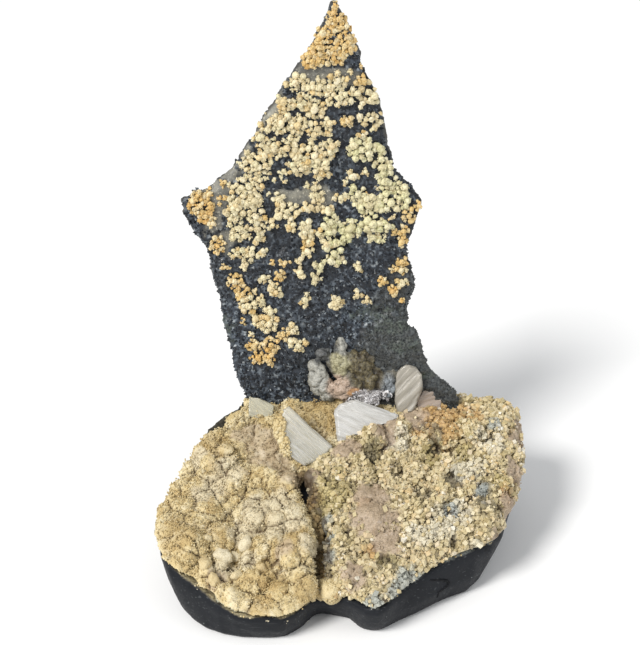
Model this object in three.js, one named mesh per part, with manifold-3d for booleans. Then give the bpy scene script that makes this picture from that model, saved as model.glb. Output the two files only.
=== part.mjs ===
// A calcite geode specimen, about 306 mm tall, modelled in millimetres with +Z up.
// A foot of dark basalt, cut flat underneath, carries two crusts of tan calcite on its sloping top.
// Behind them stands a tall slab of blue-grey drusy quartz, dotted with cream balls of calcite.
// Blades of clear calcite and a small mass of grey and olive growth sit where the slab meets the crusts.
// X runs to the viewer's right, Y runs from the front of the specimen to its back.

import * as THREE from "three";
import { mergeVertices } from "three/addons/utils/BufferGeometryUtils.js";
import Module from "manifold-3d";

const wasm = await Module();
wasm.setup();

// Driving dimensions
const CLEARANCE = 0.3; // gap left between pieces that touch
const ORIGIN_SHIFT = [-2.8, -3.0, 0]; // brings the middle of the finished specimen over the origin
const FOOT_CENTRE = [-5, 0]; // plan point that the foot's outlines are measured around
const FOOT_SIDES = 50;
const FRONT_Y = -84;
const FRONT_HEIGHT = 24; // height of the crusts at the front rim
const TOP_SLOPE = 0.3955; // rise of the crusts towards the back, per mm
const CRUST_DEPTH = 11; // how far the foot's top lies under the crusts
const OVERHANG = 1.2; // how far the crusts stand out past the foot's rim
const LEDGE_HEIGHT = 60; // top of the foot under the slab
const CRUST_GRID = 9;
const SLAB_LEAN = THREE.MathUtils.degToRad(8); // the slab leans back by this much
const SLAB_FOOT = [0, 50, 77]; // where the slab's face meets the crusts
const SLAB_BOTTOM = -26;
const SLAB_TOP = 231;
const SLAB_ROWS = 28;
const SLAB_COLUMNS = 8;

// Helpers

// A repeatable stream of numbers from 0 to 1.
function makeDice(seed) {
  let state = seed;
  return () => {
    state = (state * 48271) % 2147483647;
    return state / 2147483647;
  };
}

const smoothstep = (t) => {
  const c = Math.min(1, Math.max(0, t));
  return c * c * (3 - 2 * c);
};

function latticeValue(i, j, k) {
  let h = Math.imul(i, 374761393) ^ Math.imul(j, 668265263) ^ Math.imul(k, 1274126177);
  h = Math.imul(h ^ (h >>> 13), 1103515245);
  h ^= h >>> 16;
  return ((h >>> 0) / 4294967295) * 2 - 1;
}

// Smooth noise from -1 to 1, with features about one unit across.
function noise(x, y, z) {
  const corner = [x, y, z].map(Math.floor);
  const t = [x - corner[0], y - corner[1], z - corner[2]].map(smoothstep);
  let sum = 0;
  for (let n = 0; n < 8; n++) {
    const bit = [n & 1, (n >> 1) & 1, (n >> 2) & 1];
    const weight = bit.reduce((w, b, axis) => w * (b ? t[axis] : 1 - t[axis]), 1);
    sum += weight * latticeValue(corner[0] + bit[0], corner[1] + bit[1], corner[2] + bit[2]);
  }
  return sum;
}

// How high a rounded edge has risen, from 0 at the edge to 1 at the given distance inward.
const shoulder = (inward, width) => Math.sqrt(1 - Math.min(1, Math.max(0, 1 - inward / width)) ** 2);

function solidFrom(geometry) {
  const bare = new THREE.BufferGeometry();
  const source = geometry.index ? geometry.toNonIndexed() : geometry;
  bare.setAttribute("position", source.getAttribute("position").clone());
  const merged = mergeVertices(bare, 1e-4);
  const vertProperties = new Float32Array(merged.attributes.position.array);
  const triVerts = new Uint32Array(merged.index.array);
  return new wasm.Manifold(new wasm.Mesh({ numProp: 3, vertProperties, triVerts }));
}

function largestPiece(solid) {
  return solid.decompose().reduce((best, piece) => (piece.volume() > best.volume() ? piece : best));
}

function geometryFrom(solid) {
  const mesh = solid.getMesh();
  const geometry = new THREE.BufferGeometry();
  geometry.setAttribute("position", new THREE.BufferAttribute(mesh.vertProperties, 3));
  geometry.setIndex(new THREE.BufferAttribute(mesh.triVerts, 1));
  geometry.computeVertexNormals();
  return geometry;
}

function joinAll(solids) {
  return solids.reduce((whole, solid) => whole.add(solid));
}

function cutBy(solid, tools) {
  return tools.reduce((rest, tool) => rest.subtract(tool), solid);
}

// A closed body through rings of equal length, from a first point to a last one.
function loft(first, rings, last) {
  const count = rings[0].length;
  const points = [first, ...rings.flat(), last];
  const at = (ring, i) => 1 + ring * count + (i % count);
  const index = [];
  for (let i = 0; i < count; i++) {
    index.push(0, at(0, i + 1), at(0, i));
    index.push(points.length - 1, at(rings.length - 1, i), at(rings.length - 1, i + 1));
    for (let ring = 0; ring + 1 < rings.length; ring++) {
      index.push(at(ring, i), at(ring, i + 1), at(ring + 1, i));
      index.push(at(ring + 1, i), at(ring, i + 1), at(ring + 1, i + 1));
    }
  }
  const geometry = new THREE.BufferGeometry().setFromPoints(points);
  geometry.setIndex(index);
  return geometry;
}

// A closed outline drawn through hand-placed points, straight up and down between two heights.
function prism(outline, low, high) {
  const shape = new THREE.Shape(outline.map(([x, y]) => new THREE.Vector2(x, y)));
  const geometry = new THREE.ExtrudeGeometry(shape, { depth: high - low, bevelEnabled: false });
  return geometry.translate(0, 0, low);
}

// Straight distance in plan from a point to a closed outline.
function distanceToOutline(x, y, outline) {
  let nearest = Infinity;
  outline.forEach(([ax, ay], i) => {
    const [bx, by] = outline[(i + 1) % outline.length];
    const along = ((x - ax) * (bx - ax) + (y - ay) * (by - ay)) / ((bx - ax) ** 2 + (by - ay) ** 2);
    const t = Math.min(1, Math.max(0, along));
    nearest = Math.min(nearest, Math.hypot(x - ax - t * (bx - ax), y - ay - t * (by - ay)));
  });
  return nearest;
}

// The sloping surface that both crusts follow, level from the given depth backward
const slopeHeight = (y, level) => FRONT_HEIGHT + TOP_SLOPE * (Math.min(y, level) - FRONT_Y);

// Basalt foot: the plan of its flat underside, then its rim as plan and height, both from the front
const UNDERSIDE = [
  [-11.6, -58], [-0.4, -60.6], [6, -62], [11.6, -70.5], [21.4, -72], [31, -66], [61, -45.4], [76, -37],
  [82, -25], [88, -8], [93, 12], [94, 36], [88, 58], [70, 74], [40, 82], [5, 84], [-30, 81], [-56, 70],
  [-74, 48], [-84, 25], [-91, 0], [-94, -25], [-92, -45], [-85, -60.6], [-80, -65], [-73, -71], [-60, -76],
  [-44, -78], [-32, -77.8], [-24, -73.5], [-17, -62.5],
];
const RIM = [
  [-9.9, -66, 18.5], [2.6, -68, 21.6], [10.6, -75, 22.5], [17, -81, 22.8], [24, -77.5, 23.6], [34, -66, 25],
  [50, -54, 28.5], [58, -49, 30.6], [69, -43, 32], [79, -37.5, 31.5], [86.5, -31, 30], [92.5, -22, 31.5],
  [97.5, -11, 36.5], [103, 3, 43], [106, 19, 50], [107, 34, 56], [103, 49, 60], [91, 65, 60], [72, 78, 58],
  [45, 86, 58], [10, 89, 60], [-20, 87, 62], [-42, 80, 66], [-52, 69, 69], [-56, 57, 71], [-60.5, 46, 71],
  [-70, 38.5, 69.5], [-78.5, 28.5, 65.5], [-85.5, 17.5, 59.5], [-90.5, 5, 51], [-96, -7, 46],
  [-100, -20, 42.5],
  [-101.5, -34, 41], [-99.5, -47, 40.5], [-96, -56, 36.8], [-81.6, -66, 31], [-73, -72, 27.5],
  [-62, -80.5, 24], [-52, -84, 21.8], [-40, -84.5, 21.8], [-31, -83, 20.2], [-22.3, -77.5, 20.1],
  [-17, -70, 20],
];
const CLEFT = [[-8, -78], [-8, -60], [-9, -42], [-12.5, -26], [-17, -12], [-21, 0]];

// Radius and height of a closed line at any angle around the foot's centre.
function aroundFoot(points) {
  const line = new THREE.CatmullRomCurve3(points.map(([x, y, z = 0]) => new THREE.Vector3(x, y, z)), true);
  const samples = line.getPoints(points.length * 6).map((p) => {
    const dx = p.x - FOOT_CENTRE[0];
    const dy = p.y - FOOT_CENTRE[1];
    return { angle: Math.atan2(dy, dx), radius: Math.hypot(dx, dy), height: p.z };
  });
  samples.sort((a, b) => a.angle - b.angle);
  return (angle) => {
    const wrapped = Math.atan2(Math.sin(angle), Math.cos(angle));
    const next = samples.findIndex((s) => s.angle > wrapped);
    const b = samples[next < 0 ? 0 : next];
    const a = samples[next <= 0 ? samples.length - 1 : next - 1];
    const span = (b.angle - a.angle + 2 * Math.PI) % (2 * Math.PI);
    const t = span < 1e-9 ? 0 : ((wrapped - a.angle + 2 * Math.PI) % (2 * Math.PI)) / span;
    return {
      radius: THREE.MathUtils.lerp(a.radius, b.radius, t),
      height: THREE.MathUtils.lerp(a.height, b.height, t),
    };
  };
}
const undersideAt = aroundFoot(UNDERSIDE);
const rimAt = aroundFoot(RIM);

// The foot's top under the crusts, with a groove under the cleft and a level ledge for the slab.
function footTop(x, y) {
  const groove = 7 * Math.exp(-((distanceToOutline(x, y, CLEFT) / 7) ** 2)) * smoothstep((10 - y) / 14);
  const underCrust = slopeHeight(y, 40) - CRUST_DEPTH - groove;
  return THREE.MathUtils.lerp(underCrust, LEDGE_HEIGHT, smoothstep((y - 38) / 12));
}

// The rim ring can be carried outward on the level, to cut the crusts off where they stand out past it.
function footSolid(grow, skirt = 0) {
  // share of the way from underside to rim, extra radius, height above the underside as a share of the rim's
  const wall = [[0, -2.2, 0], [0.02, 0, 0.09], [0.36, 1.8, 0.4], [0.9, 0.8, 0.84], [1, -0.4, 1]];
  const inward = [0.9, 0.7];
  const ringPoint = (angle, radius, z) => new THREE.Vector3(
    FOOT_CENTRE[0] + radius * Math.cos(angle), FOOT_CENTRE[1] + radius * Math.sin(angle), z);
  const angles = Array.from({ length: FOOT_SIDES }, (_, i) => {
    const turn = (i / FOOT_SIDES) * 2 * Math.PI;
    return turn - 0.4 * Math.sin(turn) - Math.PI / 2; // sides are shorter at the notched front
  });
  const rings = wall.map(([out, bulge, up]) => angles.map((angle) => {
    const rim = rimAt(angle);
    const onWall = up > 0 && up < 1;
    const ripple = onWall ? 0.9 * noise(3.2 * Math.cos(angle), 3.2 * Math.sin(angle), 5 * up) : 0;
    const radius = THREE.MathUtils.lerp(undersideAt(angle).radius, rim.radius, out) + bulge + ripple;
    return ringPoint(angle, radius + grow + skirt, up * rim.height + (up === 1 ? grow : 0));
  }));
  if (skirt > 0) {
    rings.push(angles.map((angle) => {
      const rim = rimAt(angle);
      return ringPoint(angle, rim.radius - 0.4, rim.height + grow);
    }));
  }
  inward.forEach((share, step) => rings.push(angles.map((angle) => {
    const rim = rimAt(angle);
    const p = ringPoint(angle, rim.radius * share, 0);
    const sunk = step === 0 ? 0.6 : 1;
    p.z = THREE.MathUtils.lerp(rim.height, footTop(p.x, p.y), sunk) + grow;
    return p;
  })));
  const under = new THREE.Vector3(FOOT_CENTRE[0], FOOT_CENTRE[1], 0);
  const over = new THREE.Vector3(FOOT_CENTRE[0], FOOT_CENTRE[1], footTop(...FOOT_CENTRE) + grow);
  return solidFrom(loft(under, rings, over));
}

// Drusy slab: distance of its left and right edges from its middle line at each height along its face
const SLAB_LEFT = [
  [-26, -50], [-2, -51], [3, -56], [14, -60.5], [29, -62], [45, -66.5], [60, -69], [76, -72.5], [87, -74],
  [98, -81], [109, -88], [119, -91.5], [126, -85.5], [130, -73], [135, -64.5], [146, -58.5], [156, -49],
  [166, -45.5], [176, -37], [186, -33], [192, -27.5], [201, -21.5], [211, -15.5], [221, -10], [231, -4.5],
];
const SLAB_RIGHT = [
  [-26, 70], [-2, 72], [3, 68], [8, 60], [14, 55], [22.5, 50], [32, 46], [40, 44], [45, 38.5], [51, 39],
  [60, 40.5], [70, 44.5], [82, 42.5], [93, 37.5], [98, 41.5], [106, 43], [112, 45.5], [120, 48], [130, 41],
  [135.5, 35], [144, 29], [151, 28], [161, 25.5], [171.5, 24.5], [181.5, 21.5], [192, 17], [197, 13],
  [209, 9], [219.5, 5], [231, -2],
];

function edgeAt(list, up) {
  const next = list.findIndex(([w]) => w > up);
  if (next < 0) return list[list.length - 1][1];
  if (next === 0) return list[0][1];
  const [w0, e0] = list[next - 1];
  const [w1, e1] = list[next];
  return THREE.MathUtils.lerp(e0, e1, (up - w0) / (w1 - w0));
}

// How far the slab's face stands behind its own flat plane: ledges and swells, less than 6 mm in all.
function slabFace(across, up) {
  const swell = 1.6 * noise(across / 26, up / 26, 2.5) + 0.8 * noise(across / 11, up / 11, 7.5);
  const lowerLedge = -3.2 * smoothstep((across - 14) / 10) * smoothstep((46 - up) / 5);
  const middleLedge = -1.8 * smoothstep((93 + 0.1 * across - up) / 4) * smoothstep((20 - across) / 30);
  const caps = -1.6 * smoothstep((up - 196) / 4) - 1.6 * smoothstep((-73 - across) / 5);
  return swell + lowerLedge + middleLedge + caps;
}

function slabSolid(grow) {
  const thickness = (up) => 11 + 15 * smoothstep((60 - up) / 90);
  const rows = [];
  for (let r = 0; r <= SLAB_ROWS; r++) {
    const up = THREE.MathUtils.lerp(SLAB_BOTTOM, SLAB_TOP, r / SLAB_ROWS);
    const ragged = (side) => 1.1 * noise(side, up / 4.5, 1.5);
    const left = edgeAt(SLAB_LEFT, up) + ragged(3) - grow;
    const right = edgeAt(SLAB_RIGHT, up) + ragged(9) + grow;
    // where the slab narrows upward its back is narrower too, so that the face hides it
    const leftBack = Math.max(left, edgeAt(SLAB_LEFT, up + 0.75 * thickness(up)) - grow);
    const rightBack = Math.min(right, edgeAt(SLAB_RIGHT, up + 0.75 * thickness(up)) + grow);
    const front = [];
    const back = [];
    for (let c = 0; c <= SLAB_COLUMNS; c++) {
      // columns bunch up near the edges, where the face rolls over
      const even = c / SLAB_COLUMNS;
      const share = THREE.MathUtils.lerp(even, 0.5 - 0.5 * Math.cos(even * Math.PI), 0.55);
      const across = THREE.MathUtils.lerp(left, right, share);
      const edge = Math.min(across - left, right - across, (SLAB_TOP - up) * 0.6);
      const face = slabFace(across, up) + 2.6 * (1 - shoulder(edge, 5)) - grow;
      const behind = THREE.MathUtils.lerp(leftBack, rightBack, share);
      const rough = 1.8 * noise(behind / 15, up / 15, 30.5) - 2.4 * (1 - shoulder(edge, 8));
      const rear = Math.max(face + 3, thickness(up) + rough) + grow;
      front.push(new THREE.Vector3(across, face, up));
      back.unshift(new THREE.Vector3(behind, rear, up));
    }
    rows.push([...front, ...back]);
  }
  const middle = (row, up) => {
    const centre = row.reduce((sum, p) => sum.add(p), new THREE.Vector3()).divideScalar(row.length);
    return centre.setZ(up);
  };
  const first = middle(rows[0], SLAB_BOTTOM - grow);
  const last = middle(rows[rows.length - 1], SLAB_TOP + 1 + grow);
  return solidFrom(loft(first, rows, last));
}

// Fields of calcite balls on the slab's face:
// across, up, half width, half height, number of balls, smallest and largest radius
const BALL_FIELDS = [
  [-8, 207, 7, 8, 4, 3.8, 5.0], [0.5, 218, 2, 6, 2, 3.2, 4.0], [-20, 185, 11, 4, 2, 3.4, 4.8],
  [5, 184, 10, 5, 3, 3.4, 4.8], [-26, 173, 10, 4, 2, 3.4, 4.8], [-28, 158, 17, 8, 4, 3.6, 5.4],
  [-11, 149, 12, 8, 3, 3.6, 5.6], [-43, 146, 14, 7, 3, 3.4, 5.0], [-38, 132, 20, 7, 3, 3.4, 5.0],
  [18, 166, 8, 4, 2, 3.4, 4.6], [13, 147, 8, 8, 3, 3.8, 5.6], [-81, 118, 7, 7, 3, 3.6, 5.0],
  [-53, 114, 10, 8, 3, 3.4, 4.8], [-22, 115, 18, 5, 3, 3.4, 5.0], [22, 117, 18, 6, 5, 4.0, 6.0],
  [37, 123, 6, 6, 2, 3.8, 5.0], [12, 102, 22, 5, 3, 3.4, 4.8], [-55, 92, 15, 5, 3, 3.4, 4.6],
  [-5, 92, 8, 5, 2, 3.6, 5.0], [-57, 68, 5, 8, 2, 3.4, 4.4], [-44, 57, 6, 11, 2, 3.4, 4.8],
  [-43, 33, 7, 10, 3, 3.6, 5.0], [-25, 38, 3, 5, 1, 3.6, 4.4],
];
// Single balls on the bare lower half of the face: across, up, radius
const LONE_BALLS = [
  [-22.5, 78, 3.2], [-12, 76, 3.4], [25, 72, 3.2], [35.5, 70, 3.6], [34, 81, 3.4], [-20.3, 62, 3.6],
  [0, 59, 3.4], [13, 62.5, 3.2],
];
const ROUND_FROM = 4.7; // balls at least this large have twenty sides, smaller ones have eight

function ballPlaces() {
  const roll = makeDice(4117);
  const places = LONE_BALLS.map(([across, up, radius]) => ({ across, up, radius }));
  for (const [across, up, halfWidth, halfHeight, count, small, large] of BALL_FIELDS) {
    for (let i = 0; i < count; i++) {
      const angle = 2 * Math.PI * roll();
      const spread = Math.sqrt(roll());
      places.push({
        across: across + halfWidth * spread * Math.cos(angle),
        up: up + halfHeight * spread * Math.sin(angle),
        radius: THREE.MathUtils.lerp(small, large, roll()),
      });
    }
  }
  return places;
}

function ballSolid({ across, up, radius }, grow) {
  const turn = makeDice(1 + Math.floor(1000 * (across + 200) + 37 * up));
  const Shape = radius < ROUND_FROM ? THREE.OctahedronGeometry : THREE.IcosahedronGeometry;
  const ball = new Shape(radius + grow, 0);
  ball.rotateX(6 * turn()).rotateZ(6 * turn()).scale(1, 0.9, 1);
  return solidFrom(ball.translate(across, slabFace(across, up) - 0.25 * radius, up));
}

// Crusts: plan outlines drawn past the foot's rim, which trims them
const LEFT_OUTLINE = [
  [-12.5, -90], [-115, -90], [-115, 62], [-62, 62], [-58, 54], [0, 54], [46, 54], [46, 44.5], [38, 38],
  [27, 33], [11.5, 25.5], [2.5, 21.5], [-6, 14.5], [-13.5, 7], [-21.5, 1.5], [-23.5, -6], [-20.5, -13],
  [-17.5, -21], [-14.5, -33], [-13.5, -42], [-14, -53], [-12.5, -64],
];
const RIGHT_OUTLINE = [
  [-10.5, -90], [115, -90], [115, 46], [104, 52], [92, 58], [60, 58], [50, 50], [47.5, 42.5], [39, 36.5],
  [27.5, 31.5], [12, 24], [3.5, 20], [-5, 13], [-12.5, 5.5], [-19.5, 0], [-19, -7], [-16, -16],
  [-13, -25], [-10.5, -35], [-9.5, -43], [-10, -54], [-9.5, -64],
];
// Broad swells in each crust, as x, y, radius, rise
const LEFT_SWELLS = [
  [-66, 12, 19, 5], [-45, 20, 15, 4], [-52, -2, 14, 4], [-84, -14, 14, 4], [-30, -45, 16, 3],
  [-104, -42, 30, 7], [2, 50, 22, 6], [-26, 50, 14, 3],
];
const RIGHT_SWELLS = [
  [-8, -3, 12, 4], [8, 12, 12, 4], [28, 25, 12, 5], [46, 36, 10, 4], [98, 14, 12, 3], [18, -26, 16, 4],
  [40, -20, 14, 3], [62, -14, 13, 3], [72, 26, 12, 3], [46, -38, 12, 3], [26, -62, 10, 3],
];
const LEFT_HOLLOWS = [[-61, -50, 8, 6], [-28, 12, 9, 3]];
const RIGHT_HOLLOWS = [[66, 10, 11, 4], [82, -14, 8, 3], [52, 22, 10, 3], [18, -26, 6, 2]];
// Separate round lumps that stand out of each crust, as x, y, radius, rise
const LEFT_LUMPS = [
  [-71, 11, 13, 6], [-58, -5, 10, 4.5], [-41, 0, 9.5, 4], [-30, -6, 10, 5], [-37, -15, 9.5, 5],
  [-47, -24, 9.5, 5], [-35, -30, 10.5, 5.5], [-23, -29, 11, 6], [-23, -47, 13, 7.5], [-39, -44, 11, 5],
  [-84, -46, 12, 6.5], [-67, -38, 11.5, 5.5], [-76, -23, 12, 4], [-74, -61, 9, 4], [-46, -64, 10, 5],
  [-34, -70, 9.5, 4.5], [-21, -65, 10.5, 6], [-60, -70, 9, 4],
];
const RIGHT_LUMPS = [
  [-14, -6, 9, 3.5], [-3, -15, 12, 4.5], [18, -27, 15, 4], [62, 24, 9, 5], [84, -13, 8, 4],
  [-3, -69, 9, 1.5], [92, 30, 11, 3], [60, 44, 11, 2.5], [9, -58, 10, 2.5],
];

function swellHeight(x, y, swells) {
  return swells.reduce((highest, [cx, cy, radius, rise]) => {
    const inside = 1 - ((x - cx) ** 2 + (y - cy) ** 2) / radius ** 2;
    return inside > 0 ? Math.max(highest, rise * Math.sqrt(inside)) : highest;
  }, 0);
}

const hollowDepth = (x, y, hollows) => hollows.reduce((sum, [cx, cy, radius, depth]) =>
  sum + depth * smoothstep(1.4 - Math.hypot(x - cx, y - cy) / radius), 0);

// A crust rises from a thin edge at the foot's rim to its body.
function crustHeight(x, y, body, lip, width) {
  const dx = x - FOOT_CENTRE[0];
  const dy = y - FOOT_CENTRE[1];
  const rim = rimAt(Math.atan2(dy, dx));
  const rise = shoulder(rim.radius + OVERHANG - Math.hypot(dx, dy), width);
  return THREE.MathUtils.lerp(rim.height + lip, body, rise);
}

function leftHeight(x, y) {
  const inward = distanceToOutline(x, y, LEFT_OUTLINE);
  const cleftSide = 5 * (1 - shoulder(inward, 7)) * smoothstep(-y / 8);
  const saddle = 5 * smoothstep((x + 32) / 26) * smoothstep((y + 4) / 12) * smoothstep((43 - y) / 14);
  const shape = swellHeight(x, y, LEFT_SWELLS) - hollowDepth(x, y, LEFT_HOLLOWS) - cleftSide - saddle;
  const body = slopeHeight(y, 52) - 3 + shape + 1.2 * noise(x / 8, y / 8, 4.5);
  return crustHeight(x, y, body, 2.2, 13);
}

function rightHeight(x, y) {
  const inward = distanceToOutline(x, y, RIGHT_OUTLINE);
  const cleftSide = 8 * (1 - shoulder(inward, 11)) * smoothstep((-22 - y) / 12);
  const shape = swellHeight(x, y, RIGHT_SWELLS) - hollowDepth(x, y, RIGHT_HOLLOWS) - cleftSide;
  const body = slopeHeight(y, 33) + shape + 1.5 * noise(x / 8, y / 8, 14.5);
  return crustHeight(x, y, body, 3.2, 12);
}

// A crust is a sheet of heights on a square grid, with its lumps, trimmed to its plan outline.
function crustSolid(outline, heightAt, lumps, grow) {
  const rimOutline = RIM.map(([x, y]) => {
    const out = new THREE.Vector2(x - FOOT_CENTRE[0], y - FOOT_CENTRE[1]);
    out.setLength(out.length() + OVERHANG);
    return [out.x + FOOT_CENTRE[0], out.y + FOOT_CENTRE[1]];
  });
  const reach = (list, axis) => list.map((point) => point[axis]);
  const low = [0, 1].map((axis) =>
    Math.max(Math.min(...reach(rimOutline, axis)), Math.min(...reach(outline, axis))) - 3);
  const high = [0, 1].map((axis) =>
    Math.min(Math.max(...reach(rimOutline, axis)), Math.max(...reach(outline, axis))) + 3);
  const size = [high[0] - low[0], high[1] - low[1]];
  const steps = size.map((s) => Math.ceil(s / CRUST_GRID));
  const plane = new THREE.PlaneGeometry(size[0], size[1], steps[0], steps[1]);
  plane.translate(low[0] + size[0] / 2, low[1] + size[1] / 2, 0);
  const top = plane.getAttribute("position");
  const points = [];
  for (let i = 0; i < top.count; i++) {
    const x = top.getX(i) + 0.25 * CRUST_GRID * noise(i, 3.5, 1.5);
    const y = top.getY(i) + 0.25 * CRUST_GRID * noise(i, 8.5, 6.5);
    points.push(new THREE.Vector3(x, y, heightAt(x, y) + grow));
  }
  const across = steps[0] + 1;
  const border = [];
  for (let i = 0; i < steps[0]; i++) border.push(i);
  for (let j = 0; j < steps[1]; j++) border.push(j * across + steps[0]);
  for (let i = steps[0]; i > 0; i--) border.push(steps[1] * across + i);
  for (let j = steps[1]; j > 0; j--) border.push(j * across);
  const index = [...plane.index.array];
  const lowest = points.length;
  border.forEach((i) => points.push(new THREE.Vector3(points[i].x, points[i].y, 2)));
  const base = points.push(new THREE.Vector3(low[0] + size[0] / 2, low[1] + size[1] / 2, 2)) - 1;
  border.forEach((i, n) => {
    const next = (n + 1) % border.length;
    index.push(i, border[next], lowest + n, border[next], lowest + next, lowest + n);
    index.push(base, lowest + n, lowest + next);
  });
  const sheet = new THREE.BufferGeometry().setFromPoints(points);
  sheet.setIndex(index);
  const balls = lumps.map(([x, y, radius, rise], i) => {
    const ball = new THREE.IcosahedronGeometry(radius + grow, radius < 11 ? 0 : 1);
    ball.rotateX(i).rotateZ(2 * i).translate(x, y, heightAt(x, y) + rise - radius);
    return solidFrom(ball);
  });
  const whole = joinAll([solidFrom(sheet), ...balls]);
  return [outline, rimOutline].reduce((rest, line) => rest.intersect(solidFrom(prism(line, 4, 140))), whole);
}

// Blocky crystals that stand out of a crust
function crystalSolids(count, seed, outline, heightAt, region, size) {
  const roll = makeDice(seed);
  const crystals = [];
  while (crystals.length < count) {
    const x = THREE.MathUtils.lerp(region[0], region[1], roll());
    const y = THREE.MathUtils.lerp(region[2], region[3], roll());
    const width = THREE.MathUtils.lerp(size[0], size[1], roll());
    const turns = [6 * roll(), 6 * roll(), 6 * roll()];
    const rim = rimAt(Math.atan2(y - FOOT_CENTRE[1], x - FOOT_CENTRE[0])).radius;
    const inward = rim - Math.hypot(x - FOOT_CENTRE[0], y - FOOT_CENTRE[1]);
    const clear = Math.min(inward, distanceToOutline(x, y, outline));
    if (!contains(outline, new THREE.Vector2(x, y)) || clear < 0.9 * width) continue;
    const box = new THREE.BoxGeometry(width, 0.8 * width, 1.1 * width);
    box.rotateX(turns[0]).rotateY(turns[1]).rotateZ(turns[2]);
    crystals.push(solidFrom(box.translate(x, y, heightAt(x, y) + 0.1 * width)));
  }
  return crystals;
}

function contains(outline, point) {
  let inside = false;
  outline.forEach(([ax, ay], i) => {
    const [bx, by] = outline[(i + 1) % outline.length];
    const crosses = ay > point.y !== by > point.y;
    if (crosses && point.x < ((bx - ax) * (point.y - ay)) / (by - ay) + ax) inside = !inside;
  });
  return inside;
}

// Grey and olive growth at the slab's foot, in the slab's own frame:
// across, up, how far it stands out, radius, stretch upward
const FOOT_GROWTH = [
  [-11.5, 12, 6, 6.8, 1.5], [-13.5, 20, 5, 4.6, 1.1], [-6, 6, 6, 6.8, 1.1], [-9, 28, 2, 6.0, 0.8],
  [1, 32, 3.5, 4.4, 1.7], [1, 21, 4, 8, 1.1], [12, 22, 4.5, 10, 1.0], [10, 11, 6, 9, 0.9],
  [21, 13, 5, 9, 0.9], [3, 7, 8, 8, 0.9], [17, 3, 8, 8, 0.8], [29, 8, 4, 5.4, 1.7], [33, 14, 2, 6, 1.2],
];

function growthSolid(grow) {
  return joinAll(FOOT_GROWTH.map(([across, up, out, radius, stretch], i) => {
    const lump = new THREE.IcosahedronGeometry(radius + grow, radius < 10 ? 0 : 1);
    lump.rotateX(i).rotateZ(2 * i).scale(1, 0.85, stretch);
    return solidFrom(lump.translate(across, slabFace(across, up) - out + 2, up));
  }));
}

// Crystal blades: a flat outline in the blade's own plane, its thickness, and where it stands
const BLADES = [
  {
    name: "left_blade", thickness: 3, at: [-47, 41, 75], faces: [-0.1, -0.8, 0.5],
    outline: [[-6.5, 6.5], [1.5, 4.8], [9.8, 0.5], [8, -10], [-7, -13]],
  },
  {
    name: "long_blade", thickness: 5, at: [-20, 17, 69], faces: [0.1, -0.75, 0.65],
    outline: [[-12.5, 16.5], [-9, 18.5], [17, -5], [10.5, -13.5], [0, -17], [-13, -9], [-18, 4]],
  },
  {
    name: "white_blade", thickness: 7, at: [12, 31, 74], faces: [0, -0.8, 0.6],
    outline: [[-15.5, 4.5], [-11.5, 8], [-2.5, 10.5], [23, 2], [23.5, -2], [9, -11], [-1, -15], [-13, -18]],
  },
  {
    name: "grey_blade", thickness: 4.5, at: [41, 43, 88], faces: [-0.15, -0.93, 0.33],
    outline: [[-8.5, -1], [-8, 7.5], [-5, 11.5], [-1.5, 13.5], [4.5, 11.5], [8, 7], [8.8, -1.5], [5, -12],
      [0, -22], [-6, -20], [-8.5, -10]],
  },
  {
    name: "small_blade", thickness: 4, at: [52, 46, 80], faces: [0.25, -0.8, 0.55],
    outline: [[-9, -6], [-3, 3], [1, 4.5], [10, -2], [9, -10], [-6, -14]],
  },
];

function bladeFrame({ at, faces }) {
  const frame = new THREE.Group();
  const out = new THREE.Vector3(...faces).normalize();
  const across = new THREE.Vector3(1, 0, 0).addScaledVector(out, -out.x).normalize();
  const up = new THREE.Vector3().crossVectors(out, across);
  frame.position.set(...at);
  frame.quaternion.setFromRotationMatrix(new THREE.Matrix4().makeBasis(across, up, out));
  frame.updateMatrix();
  return frame;
}

function bladeGeometry({ outline, thickness }, grow) {
  const shape = new THREE.Shape(outline.map(([x, y]) => new THREE.Vector2(x, y)));
  const bevel = 0.28 * thickness;
  const settings = {
    depth: thickness - 2 * bevel + 2 * grow, bevelEnabled: true, bevelThickness: bevel, bevelSize: bevel,
    bevelOffset: grow - bevel, bevelSegments: 1,
  };
  return new THREE.ExtrudeGeometry(shape, settings).translate(0, 0, -thickness / 2 + bevel - grow);
}

// Colours as they look on the specimen
const MATERIALS = {
  basalt: { color: 0x2f3237, roughness: 0.55, metalness: 0 },
  tanCalcite: { color: 0xc9ad74, roughness: 0.8, metalness: 0 },
  honeyCalcite: { color: 0xc2a878, roughness: 0.75, metalness: 0 },
  druse: { color: 0x4a4f5a, roughness: 0.45, metalness: 0 },
  greyGrowth: { color: 0x8d8676, roughness: 0.6, metalness: 0 },
  clearCalcite: { color: 0xd8d4c4, roughness: 0.2, metalness: 0, transparent: true, opacity: 0.8 },
};

function pieceOf(name, solid, look, frame) {
  const material = new THREE.MeshStandardMaterial({ ...MATERIALS[look], flatShading: true });
  const piece = new THREE.Mesh(geometryFrom(largestPiece(solid)), material);
  piece.name = name;
  frame.add(piece);
}

// Assembly: each piece is cut back by what it grew on, in the frame of the piece that is cut.
const specimen = new THREE.Group();
specimen.position.set(...ORIGIN_SHIFT);

const slabFrame = new THREE.Group();
slabFrame.position.set(...SLAB_FOOT);
slabFrame.rotation.x = -SLAB_LEAN;
slabFrame.updateMatrix();
specimen.add(slabFrame);
const intoSlab = slabFrame.matrix.clone().invert().elements;

const foot = footSolid(0);
const footTool = footSolid(CLEARANCE, 12);
pieceOf("basalt_foot", foot, "basalt", specimen);

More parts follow.
